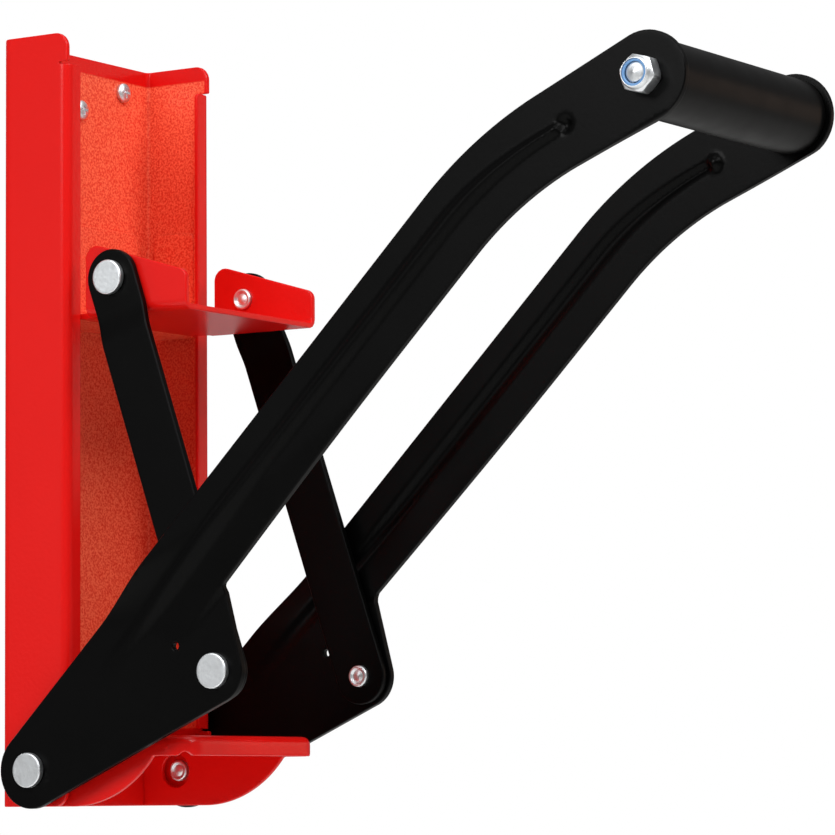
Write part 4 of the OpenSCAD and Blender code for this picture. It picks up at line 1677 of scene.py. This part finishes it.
@dataclass
class Handle:
    """The foam grip with the bolt and the lock nut that hold it between the arms."""

    grip_r: float = 14.5
    grip_t: float = 3.0
    grip_edge: float = 0.9
    bolt_r: float = 4.0
    bolt_edge: float = 0.3
    thread_pitch: float = 1.25
    thread_deep: float = 0.55
    thread_tip: float = 1.0
    thread_in: float = 8.0
    hex_af: float = 13.0
    head_dish: float = 1.6
    nut_h: float = 6.5
    collar_h: float = 1.9
    collar_r: float = 6.0
    collar: tuple[tuple[float, float], ...] = ((0.05, 0.1), (0.5, 0.0))
    curl: tuple[tuple[float, float], ...] = ((0.6, 0.3), (0.15, 0.6), (0.0, 0.95))
    insert_r: float = 5.1
    hex_steps: int = 96
    hex_corner: float = 28.0
    chamfer: tuple[tuple[float, float], ...] = ((0.0, -0.35), (0.35, 0.3), (0.9, 1.1))

    def __post_init__(self) -> None:
        """Find the handle's axis and the outer faces of the arms."""
        self.depth, self.height = spot("handle_grip")
        self.half = extent("handle_grip")[1][0]
        self.arm_out = extent("arm_right")[1][0]
        self.head_end = extent("handle_bolt")[1][0]
        self.bolt_end = -extent("handle_bolt")[0][0]

    def _ring_mesh(self, name: str, rings: list, side: Side, closed: bool) -> bpy.types.Object:
        """Join rings round the handle's axis to a closed piece.

        Args:
            name: Name of the piece.
            rings: Each ring's distance from the middle plane and its radius at each angle.
            side: The side that the distances are measured to.
            closed: Whether the last ring joins the first, as on a piece with a bore.

        Returns:
            The piece.
        """
        count = self.hex_steps
        angles = np.linspace(0, math.tau, count, endpoint=False)
        points = []
        for across, radius in rings:
            radius = np.broadcast_to(radius, count)
            points.append(world(np.full(count, side.value * across),
                                self.depth + radius * np.cos(angles),
                                self.height + radius * np.sin(angles)))
        faces = []
        here = np.arange(count)
        pairs = list(zip(range(len(rings)), range(1, len(rings))))
        if closed:
            pairs.append((len(rings) - 1, 0))
        for a, b in pairs:
            a_ring, b_ring = here + a * count, here + b * count
            ahead = (np.roll(b_ring, -1), np.roll(a_ring, -1))
            faces += np.stack([a_ring, b_ring, *ahead], 1).tolist()
        if not closed:
            faces.append(here[::-1].tolist())
            faces.append((here + (len(rings) - 1) * count).tolist())
        return mesh_object(name, np.concatenate(points), faces)

    def _hexagon(self, cone: float) -> np.ndarray:
        """Give a hexagon's radius at each angle, cut by a cone's radius and a little rounded."""
        angles = np.linspace(0, math.tau, self.hex_steps, endpoint=False)
        flat = self.hex_af / 2 / np.cos((angles + math.pi / 12) % (math.pi / 3) - math.pi / 6)
        corner = self.hex_af / 2 / math.cos(math.radians(self.hex_corner))
        return np.minimum(np.minimum(flat, corner), cone)

    def _hex_rings(self, start: float, length: float) -> list:
        """Give the rings of a hexagon with chamfered ends."""
        middle = self.hex_af / 2
        rings = [(start + along, self._hexagon(middle + out)) for along, out in self.chamfer]
        rings += [(start + length - along, radius) for (along, _), (_, radius) in
                  zip(reversed(self.chamfer), reversed(rings))]
        return rings

    def build(self, finishes: Finishes, repeats: Repeats) -> None:
        """Make the grip, the bolt, the nut and its ring, and dress the tube and bushes."""
        self._grip(finishes)
        self._nut(finishes)
        self._bolt(finishes, repeats)
        for node, finish in (("handle_tube", TUBE_STEEL), ("end_bush_left", BUSH_ACETAL),
                             ("end_bush_right", BUSH_ACETAL)):
            finishes.dress(frame["nodes"][node], finish)
            log.info("%s keeps its shape in %s", node, finish.name)

    def _grip(self, finishes: Finishes) -> None:
        """Make the foam sleeve with soft ends."""
        edge, r = self.grip_edge, self.grip_r
        turn = np.linspace(0, QUARTER, 6)
        outside = [(-self.half + edge - edge * math.cos(a), r - edge + edge * math.sin(a))
                   for a in turn]
        outside += [(x, r) for x in np.linspace(-self.half + 4, self.half - 4, 12)]
        outside += [(self.half - edge + edge * math.sin(a), r - edge + edge * math.cos(a))
                    for a in turn]
        bore = r - self.grip_t
        rings = [(-self.half, bore), *outside, (self.half, bore)]
        piece = self._ring_mesh("foam_grip", rings, Side.RIGHT, True)
        finishes.fit(piece, GRIP_FOAM, "handle", "handle_grip")

    def _nut(self, finishes: Finishes) -> None:
        """Make the lock nut and the blue ring in its collar."""
        start, top = self.arm_out, self.arm_out + self.nut_h
        rings = self._hex_rings(start, self.nut_h)
        collar = [(top + up, self.collar_r + out) for up, out in self.collar]
        collar += [(top + self.collar_h - down, self.collar_r - in_) for down, in_ in self.curl]
        collar.append((top + self.collar_h - 0.25, self.insert_r))
        inner = [(top, self.insert_r), (top, self.bolt_r), (start, self.bolt_r)]
        nut = self._ring_mesh("lock_nut", [*rings, *collar, *inner], Side.LEFT, True)
        finishes.fit(nut, ZINC, "handle", "handle_nut")
        face = top + self.collar_h - 0.45
        ring = [(top, self.insert_r), (face - 0.2, self.insert_r), (face, self.insert_r - 0.25),
                (face, self.bolt_r + 0.1), (face - 0.2, self.bolt_r), (top, self.bolt_r)]
        insert = self._ring_mesh("lock_nut_ring", ring, Side.LEFT, True)
        finishes.fit(insert, NYLON, "handle")

    def _bolt(self, finishes: Finishes, repeats: Repeats) -> None:
        """Make the bolt: its head and plain shank, and the threaded end in the nut."""
        head = self._hex_rings(self.arm_out, self.head_end - self.arm_out)
        plain_end, edge = self.arm_out - self.thread_in, self.bolt_edge
        shank = [(-plain_end, self.bolt_r - edge), (-plain_end + edge, self.bolt_r),
                 (self.arm_out, self.bolt_r)]
        face = [(self.head_end, self.hex_af / 2 - self.head_dish)]
        piece = self._ring_mesh("through_bolt", [*shank, *head, *face], Side.RIGHT, False)
        finishes.fit(piece, ZINC, "handle", "handle_bolt")
        thread = repeats.grow(
            "bolt_thread", repeats.thread, profile((0, 0), (0, 1)), Diameter=2 * self.bolt_r * MM,
            Pitch=self.thread_pitch * MM, Depth=self.thread_deep * MM,
            Length=(self.bolt_end - plain_end) * MM, Tip=self.thread_tip * MM, Steps=40,
            Material=finishes[ZINC])
        stand = Matrix.Translation((-plain_end * MM, -self.depth * MM, (self.height + FOOT) * MM))
        thread.data.transform(stand @ Matrix.Rotation(-QUARTER, 4, "Y"))
        dress_mesh(thread.data)
        finishes.fit(thread, ZINC, "handle")


# ---- The studio --------------------------------------------------------------------------


@dataclass(frozen=True)
class Softbox:
    """A large soft light, aimed at the middle of the machine."""

    name: str
    azimuth: float
    elevation: float
    distance: float
    width: float
    height: float
    power: float
    colour: str = "#ffffff"

    def build(self, target: Vector) -> None:
        """Hang the light and aim it.

        Args:
            target: The point that it looks at, in metres.
        """
        data = bpy.data.lights.new(self.name, "AREA")
        data.shape = "RECTANGLE"
        data.size, data.size_y = self.width, self.height
        data.energy = self.power
        data.color = linear(self.colour)[:3]
        a, e = math.radians(self.azimuth), math.radians(self.elevation)
        away = Vector((math.sin(a) * math.cos(e), -math.cos(a) * math.cos(e), math.sin(e)))
        light = bpy.data.objects.new(self.name, data)
        light.location = target + away * self.distance
        light.rotation_mode = "QUATERNION"
        light.rotation_quaternion = away.to_track_quat("Z", "Y")
        bpy.context.scene.collection.objects.link(light)
        log.info("%s hangs at %.0f degrees", self.name, self.azimuth)


@dataclass
class Studio:
    """The camera, the soft lights, the bright surroundings and the floor."""

    eye: tuple[float, float, float] = (-1.3240, -1.0251, -0.1707)
    azimuth: float = -56.997
    elevation: float = -5.265
    roll: float = -0.428
    lens: float = 178.04
    floor_drop: float = 0.55
    floor_r: float = 7.0
    surround: float = 0.2

    def camera(self) -> None:
        """Stand the camera at the machine's front left, a little below its middle."""
        a, e, r = (math.radians(x) for x in (self.azimuth, self.elevation, self.roll))
        back = Vector((math.sin(a) * math.cos(e), -math.cos(a) * math.cos(e), math.sin(e)))
        level = Vector((math.cos(a), math.sin(a), 0))
        upright = back.cross(level)
        right = level * math.cos(r) + upright * math.sin(r)
        up = upright * math.cos(r) - level * math.sin(r)
        data = bpy.data.cameras.new("studio_camera")
        data.lens, data.sensor_width = self.lens, 36.0
        data.clip_start, data.clip_end = 0.05, 60.0
        camera = bpy.data.objects.new("studio_camera", data)
        turned = Matrix((right, up, back)).transposed().to_4x4()
        camera.matrix_world = Matrix.Translation(self.eye) @ turned
        bpy.context.scene.collection.objects.link(camera)
        bpy.context.scene.camera = camera

    def surroundings(self) -> None:
        """Make a white background whose light on the machine is softer than it looks."""
        made = bpy.data.worlds.new("studio")
        made.use_nodes = True
        tree = made.node_tree
        tree.nodes.clear()
        seen = add(tree, "ShaderNodeLightPath").outputs["Is Camera Ray"]
        glow = ramp(tree, seen, 0, 1, self.surround, 1)
        ground = add(tree, "ShaderNodeBackground", {"Color": (1, 1, 1, 1), "Strength": glow})
        add(tree, "ShaderNodeOutputWorld", {"Surface": ground.outputs[0]})
        bpy.context.scene.world = made
        bpy.context.scene.view_settings.view_transform = "Standard"

    def floor(self, finishes: Finishes) -> None:
        """Lay the pale floor well below the machine."""
        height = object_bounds()[0].z - self.floor_drop
        rim = circle(np.zeros(2), self.floor_r, 96)
        points = np.column_stack([rim, np.full(len(rim), height)])
        mesh = bpy.data.meshes.new("studio_floor")
        mesh.from_pydata(points.tolist(), [], [list(range(len(rim)))])
        piece = object_of("studio_floor", mesh)
        mesh.materials.append(finishes[FLOOR_PAINT])
        piece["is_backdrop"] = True

    def lights(self) -> None:
        """Hang the softboxes round the machine."""
        low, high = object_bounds()
        target = (low + high) / 2
        for box in (
            Softbox("key_left", -104, 25, 2.2, 1.0, 0.8, 20),
            Softbox("front", 4, 40, 2.2, 0.9, 0.9, 21),
            Softbox("camera_side", -52, 38, 2.3, 0.7, 0.9, 15),
            Softbox("fill_right", 60, 6, 2.4, 0.4, 0.9, 1.6, "#ffd9bf"),
            Softbox("side_left", -125, 5, 2.4, 0.7, 0.7, 0.8),
            Softbox("top", -10, 82, 6.0, 6.0, 6.0, 170),
            Softbox("back_right", 160, 25, 2.6, 0.9, 0.9, 12),
        ):
            box.build(target)

    def build(self, finishes: Finishes) -> None:
        """Set up the whole studio."""
        self.camera()
        self.surroundings()
        self.floor(finishes)
        self.lights()


def main() -> None:
    """Build the studio and every piece of the machine, in order."""
    finishes = Finishes()
    Studio().build(finishes)
    repeats = Repeats()
    ChannelFrame().build(finishes)
    WallScrews().build(finishes, repeats)
    DrawnSeat().build(finishes)
    FoldedPress().build(finishes)
    for side in Side:
        LinkBar().build(finishes, side)
        StampedArm().build(finishes, side)
    Rivets().build(finishes, repeats)
    Handle().build(finishes, repeats)


if __name__ == "__main__":
    main()
